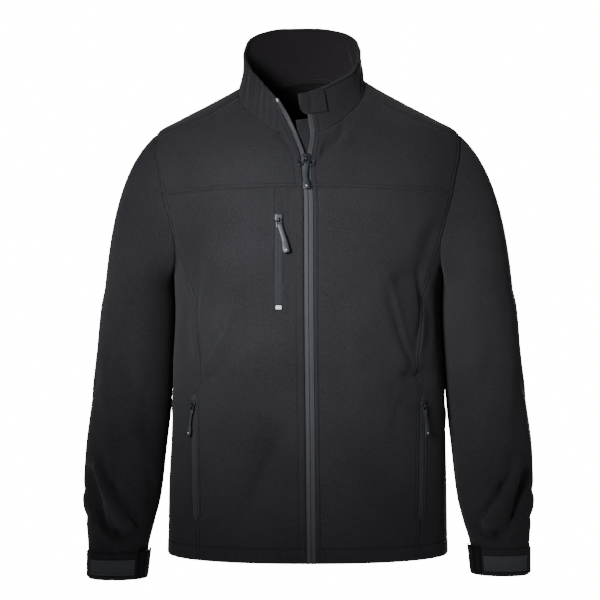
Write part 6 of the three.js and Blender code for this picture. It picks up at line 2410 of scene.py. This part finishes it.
@dataclass
class Studio:
    """The camera, floor and lights."""

    camera_place: Triple = (-0.012, -2.6, -0.316)
    half_view: float = 0.462
    floor_z: float = -1.07
    floor_radius: float = 1.45
    floor_glow: float = 0.35
    paper_white: float = 16.0
    room_light: float = 0.06

    def build(self) -> None:
        """Makes the camera at the photograph's angle, a pale floor and soft lights."""
        data = bpy.data.cameras.new("camera")
        data.sensor_fit = "HORIZONTAL"
        data.angle = 2 * math.atan(self.half_view / abs(self.camera_place[1]))
        camera = bpy.data.objects.new("camera", data)
        camera.location = self.camera_place
        camera.rotation_euler = (math.radians(90), 0, 0)
        bpy.context.scene.collection.objects.link(camera)
        bpy.context.scene.camera = camera
        self.floor()
        self.room()
        self.light("key", (-0.62, -1.35, 0.0), (0.0, -0.1, -0.24), size=0.45, power=3.4, spread=40)
        self.light("fill_left", (-1.9, -0.6, 0.1), (-0.1, 0, -0.14), size=0.9, power=0.8, spread=52)
        self.light("fill_right", (2.0, -0.6, 0.1), (0.1, 0, -0.14), size=0.9, power=1.1, spread=52)
        self.light("top", (0.1, 1.2, 1.3), (0, 0, -0.2), size=1.2, power=5, spread=180)
        self.light("back", (0.7, 2.1, 0.1), (0, 0, -0.3), size=1.0, power=9, spread=52)

    def room(self) -> None:
        """A white surround that the camera sees, and a weaker even light from all sides."""
        world = bpy.data.worlds.new("studio")
        world.use_nodes = True
        tree = world.node_tree
        path = tree.nodes.new("ShaderNodeLightPath")
        strength = tree.nodes.new("ShaderNodeMapRange")
        set_inputs(strength, {"To Min": self.room_light, "To Max": self.paper_white})
        tree.links.new(path.outputs["Is Camera Ray"], strength.inputs["Value"])
        surround = tree.nodes["Background"]
        surround.inputs["Color"].default_value = (1, 1, 1, 1)
        tree.links.new(strength.outputs["Result"], surround.inputs["Strength"])
        bpy.context.scene.world = world

    def floor(self) -> None:
        """A round pale floor below the jacket: one flat face on a ring of points."""
        turn = full_turn(96)
        edge = np.stack([np.cos(turn), np.sin(turn), 0 * turn], axis=-1) * self.floor_radius
        mesh = bpy.data.meshes.new("floor")
        mesh.from_pydata((edge + np.array([0, 0, self.floor_z])).tolist(), [], [list(range(len(turn)))])
        material, _, shader = plain_shader("floor")
        set_inputs(shader, {"Base Color": (0.82, 0.82, 0.82, 1), "Roughness": 0.9,
                            "Emission Color": (1, 1, 1, 1), "Emission Strength": self.floor_glow})
        mesh.materials.append(material)
        floor = bpy.data.objects.new("floor", mesh)
        bpy.context.scene.collection.objects.link(floor)

    def light(self, name: str, place: tuple[float, ...], target: tuple[float, ...], size: float,
              power: float, spread: float) -> None:
        """A square soft light at a place, turned towards a target, with a spread in degrees."""
        data = bpy.data.lights.new(name, "AREA")
        data.shape = "SQUARE"
        data.size = size
        data.energy = power
        data.spread = math.radians(spread)
        lamp = bpy.data.objects.new(name, data)
        lamp.location = place
        away = np.asarray(target, float) - np.asarray(place, float)
        flat = math.hypot(away[0], away[1])
        lamp.rotation_euler = (math.atan2(flat, -away[2]), 0, math.atan2(-away[0], away[1]))
        bpy.context.scene.collection.objects.link(lamp)


def fastenings(form: BodyForm, seams: Seams, finishes: Finishes) -> list[Fastening]:
    """The four sliders with their pulls, at the places that the photograph shows."""
    main_z, pocket_z = -108.0, -474.0
    middle = float(seams.edge_x[Side.RIGHT](main_z) + seams.edge_x[Side.LEFT](main_z)) / 2
    pocket = SliderSize(crown=4.6, foot=3.6, length=17)
    chest_pull = PullSize(neck=3.6, end=5.2, length=51, tilt=14, lean=1, bow=1.2)
    away = float(seams.seam_x["front"](pocket_z))
    return [
        Fastening(form, finishes, "main_slider", "main_pull", middle, main_z,
                  SliderSize(crown=6.4, foot=4.6, length=18, wing=12.5),
                  PullSize(neck=3, end=5.4, length=47, tilt=0, lean=0, bow=-1.6)),
        Fastening(form, finishes, "chest_slider", "chest_pull", CHEST_X, CHEST_SLIDER_Z,
                  SliderSize(crown=6.2, foot=4.6, length=22), chest_pull, lift=LAYER_GAP + TAPE),
        Fastening(form, finishes, "pocket_slider_right", "pocket_pull_right", -away, pocket_z,
                  pocket, PullSize(neck=2.6, end=4, length=45, tilt=-5, lean=4, bow=-1.0)),
        Fastening(form, finishes, "pocket_slider_left", "pocket_pull_left", away, pocket_z,
                  pocket, PullSize(neck=2.6, end=4, length=45, tilt=5, lean=4, bow=1.0)),
    ]


def main() -> None:
    """Builds the studio and every sub-assembly, in order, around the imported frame."""
    logging.basicConfig(level=logging.INFO, format="%(message)s")
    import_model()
    Studio().build()
    finishes = Finishes()
    form = BodyForm()
    seams = Seams(form)
    BodyPanels(form, seams, finishes).build()
    sleeves = Sleeves(form, seams, finishes)
    sleeves.build()
    collar = Collar(form, seams, finishes)
    collar_stitches = collar.build()
    guard_stitches = MainZip(form, seams, finishes, collar).build()
    Pockets(form, seams, finishes).build()
    cuff_stitches = Cuffs(sleeves, finishes).build()
    for fastening in fastenings(form, seams, finishes):
        fastening.build()
    stitching = BodyStitching(form, seams, sleeves, Threads())
    stitching.build(collar_stitches + guard_stitches, finishes.thread)
    stitching.sleeve_hems(cuff_stitches, finishes.thread)


if __name__ == "__main__":
    main()
